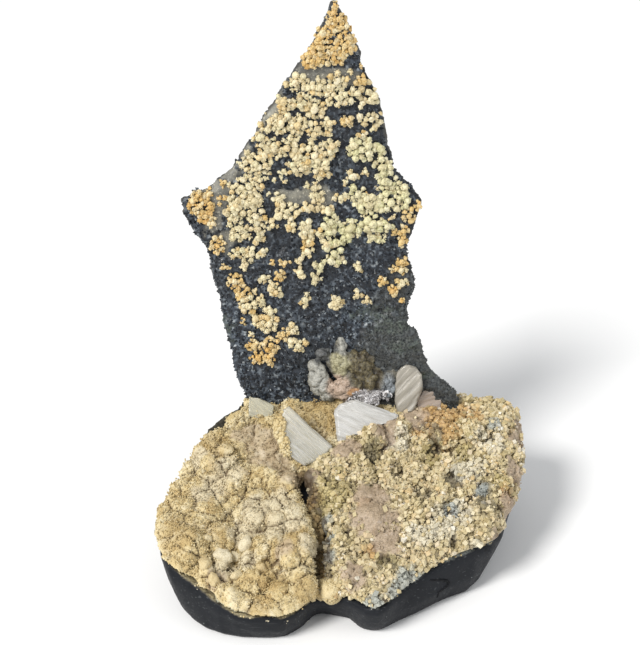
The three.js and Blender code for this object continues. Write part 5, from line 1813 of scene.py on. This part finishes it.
def clear_material(name, colour, clearness, lengthways, crossways):
    blade_calcite, tree, shader = new_material(
        name, Specular_IOR_Level=0.5, IOR=1.6, Transmission_Weight=clearness
    )
    coarse = placed_group(tree, grit, Size=180.0)
    place = tree.nodes.new("ShaderNodeTexCoord")
    grain_place = tree.nodes.new("ShaderNodeCombineXYZ")
    for direction, scale, socket in ((lengthways, 110.0, 0), (crossways, 2100.0, 1)):
        measured = tree.nodes.new("ShaderNodeVectorMath")
        measured.operation = "DOT_PRODUCT"
        measured.inputs[1].default_value = direction * scale
        wire(tree, place.outputs["Object"], measured.inputs[0])
        wire(tree, measured.outputs["Value"], grain_place.inputs[socket])
    fibre = tree.nodes.new("ShaderNodeTexNoise")
    fibre.inputs["Scale"].default_value = 1.0
    fibre.inputs["Detail"].default_value = 3.0
    wire(tree, grain_place.outputs[0], fibre.inputs["Vector"])
    fibres = ranged(tree, fibre.outputs[0], 0.34, 0.66)
    cloudy = mixed_colour(tree, coarse.outputs["Patches"], colour, shades(colour, 0.78))
    cloudy = tinted(tree, cloudy, read_number(tree, "dark_line"), 0.35, shades(colour, 0.5))
    cloudy = tinted(tree, cloudy, read_number(tree, "line"), 0.5, tuple(min(0.92, 1.3 * c) for c in colour))
    threads = mixed_colour(tree, fibres, shades(colour, 0.55), shades(colour, 1.3))
    cloudy = mixed_colour(tree, 0.62, cloudy, threads)
    wire(tree, cloudy, shader.inputs["Base Color"])
    wire(tree, ranged(tree, fibre.outputs[0], 0.3, 0.7, 0.38, 0.12), shader.inputs["Roughness"])
    raised(tree, shader, fibre.outputs[0], 0.35 * MM, 0.5)
    absorbed = tree.nodes.new("ShaderNodeVolumeAbsorption")
    absorbed.inputs["Color"].default_value = (0.93, 0.90, 0.80, 1)
    absorbed.inputs["Density"].default_value = 40.0
    wire(tree, absorbed.outputs[0], tree.nodes["Material Output"].inputs["Volume"])
    return blade_calcite


fibre_shades = [shades(BLADES["long_blade"][2], share)[0] for share in (0.55, 1.3)]
print("red in the long blade's darker and paler fibres:", np.round(fibre_shades, 2))

# %% Cut the lines into each blade and chip its edges
BLADE_VOXEL = 0.58 * MM
blade_meshes = {}
for seed, (node, (faces, slant, colour, clearness)) in enumerate(BLADES.items()):
    mesh = remeshed(merged_copy(node), BLADE_VOXEL)
    outward, sideways, upward = blade_directions(faces)
    lengthways = math.cos(slant) * sideways + math.sin(slant) * upward
    crossways = np.cross(outward, lengthways)
    spots, normals = spots_of(mesh), normals_of(mesh)
    over = spots @ crossways / MM
    along = spots @ lengthways / MM
    strand = np.stack([over / 0.9, along / 14, 0 * over + seed], axis=1)
    wide_strand = np.stack([over / 3.1, along / 30, 0 * over + seed], axis=1)
    lines = 0.35 * drift(strand, 1.0, 1103 + seed) + 0.65 * drift(wide_strand, 1.0, 1109 + seed)
    flat_side = np.abs(normals @ outward)
    chips = eased(rough_drift(spots, 5 * MM, 1117 + seed), 0.0, 0.5) * eased(-flat_side, -0.8, -0.3)
    push = 1.1 * lines * flat_side - 0.45 - 1.4 * chips
    move_to(mesh, spots + normals * (push * MM)[:, None])
    note(mesh, "line", eased(drift(strand, 1.0, 1103 + seed), 0.2, 0.7))
    note(mesh, "dark_line", eased(drift(wide_strand, 1.0, 1123 + seed), 0.1, 0.7))
    finish = clear_material(node + "_finish", colour, clearness, Vector(lengthways), Vector(crossways))
    show(node + "_calcite", mesh, finish, "clear_calcite", node)
    blade_meshes[node] = mesh

# %% [markdown]
# ## Sand on the long blade
#
# Tan calcite grew over the left side of the long blade, so that only its right part is clear. The
# border is a slanting line with a drift in it. Where the blade is covered, granules of the left crust's
# kind are set on it, in the left crust's material, and the two run into each other.

# %% Calcite sand that covers the left side of the long blade
long_mesh = blade_meshes["long_blade"]
spots = spots_of(long_mesh)
x, z = spots[:, 0] / MM, spots[:, 2] / MM
covered = eased(-28.2 - 0.31 * (z - 55) - x + 1.6 * rough_drift(spots, 6 * MM, 1201), -0.8, 1.2)
sand_zones = tan_numbers(len(spots))
sand_zones["mauve"] = 0.5 * eased(drift(spots, 9 * MM, 1207), 0.0, 0.5)
sand_zones["ochre"] = 0.4 * eased(drift(spots, 7 * MM, 1213), 0.0, 0.5)
sand_zones["cell"] = 0.6 + 0.35 * drift(spots, 4 * MM, 1217)
chance = covered * eased(normals_of(long_mesh)[:, 2] - normals_of(long_mesh)[:, 1], 0.2, 0.8)
blade_sand = granules("blade_sand", long_mesh, sand_zones, chance, [
    (ball_grain(1, 0.25, 1223), 210, 0.5, 1.5), (speck_grain(), 520, 0.32, 0.75),
], 1229)
show("blade_sand", blade_sand, tan_calcite, "tan_calcite")

# %% [markdown]
# ## Floor, light and camera
#
# The specimen stands against white in even light, so the floor is a pale plane and the world a bright
# neutral room. A sun with a wide disc, from the upper left in front, draws the lumps with soft shadows,
# and two large lamps fill them from both sides. The camera looks down by 30 degrees with a long lens,
# which keeps the slab and the foot in proportion.

# %% Floor
floor_shape = bmesh.new()
bmesh.ops.create_grid(floor_shape, x_segments=4, y_segments=4, size=6.0)
floor_mesh = bpy.data.meshes.new("floor")
floor_shape.to_mesh(floor_mesh)
floor_shape.free()
floor = bpy.data.objects.new("floor", floor_mesh)
scene.collection.objects.link(floor)
paper, tree, shader = new_material("pale_floor", Roughness=0.9, Specular_IOR_Level=0.1)
wire(tree, placed_group(tree, grit, Size=6.0).outputs["Patches"], shader.inputs["Roughness"])
shader.inputs["Base Color"].default_value = (0.93, 0.93, 0.93, 1)
floor_mesh.materials.append(paper)
floor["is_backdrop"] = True
print("the floor is", round(floor.dimensions.x, 1), "m wide")

# %% Lamps
def soft_lamp(name, spot, aim, size, watts, colour):
    light = bpy.data.lights.new(name, "AREA")
    light.size = size
    light.energy = watts
    light.color = colour
    lamp = bpy.data.objects.new(name, light)
    lamp.location = spot
    lamp.rotation_euler = (Vector(aim) - Vector(spot)).to_track_quat("-Z", "Y").to_euler()
    scene.collection.objects.link(lamp)


key = bpy.data.lights.new("key_light", "SUN")
key.energy = 2.5
key.angle = math.radians(17)
key.color = (1.0, 0.985, 0.96)
key_lamp = bpy.data.objects.new("key_light", key)
key_lamp.rotation_euler = Vector((-0.8, -0.75, 1.15)).to_track_quat("Z", "Y").to_euler()
scene.collection.objects.link(key_lamp)
soft_lamp("lamp_left", (-1.0, -0.8, 0.7), (0, 0, 0.12), 0.7, 5.0, (1.0, 0.99, 0.97))
soft_lamp("lamp_right", (1.1, -0.5, 0.6), (0, 0, 0.12), 0.7, 3.0, (0.97, 0.99, 1.0))

# %% World
room = bpy.data.worlds.new("soft_room")
room.use_nodes = True
room.node_tree.nodes["Background"].inputs["Color"].default_value = (0.97, 0.985, 1.0, 1)
room.node_tree.nodes["Background"].inputs["Strength"].default_value = 0.55
scene.world = room
scene.view_settings.view_transform = "Standard"
print("world:", scene.world.name)

# %% Camera
TARGET = Vector((-13.8, -3.0, 155.5)) * MM
ELEVATION = math.radians(30)
CAMERA_AWAY = 822 * MM
lens = bpy.data.cameras.new("camera")
lens.lens = 85.0
lens.sensor_width = 36.0
lens.clip_start = 0.02
lens.clip_end = 30.0
camera = bpy.data.objects.new("camera", lens)
camera.location = TARGET + CAMERA_AWAY * Vector((0, -math.cos(ELEVATION), math.sin(ELEVATION)))
camera.rotation_euler = (math.pi / 2 - ELEVATION, 0, 0)
scene.collection.objects.link(camera)
scene.camera = camera
print("camera at", [round(value, 3) for value in camera.location])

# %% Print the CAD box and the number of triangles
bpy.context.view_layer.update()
print("CAD box", [round(v / MM, 2) for v in (*cad_low, *cad_high)])
total = sum(sum(len(f.vertices) - 2 for f in piece.data.polygons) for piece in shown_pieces())
print("triangles in all:", total)
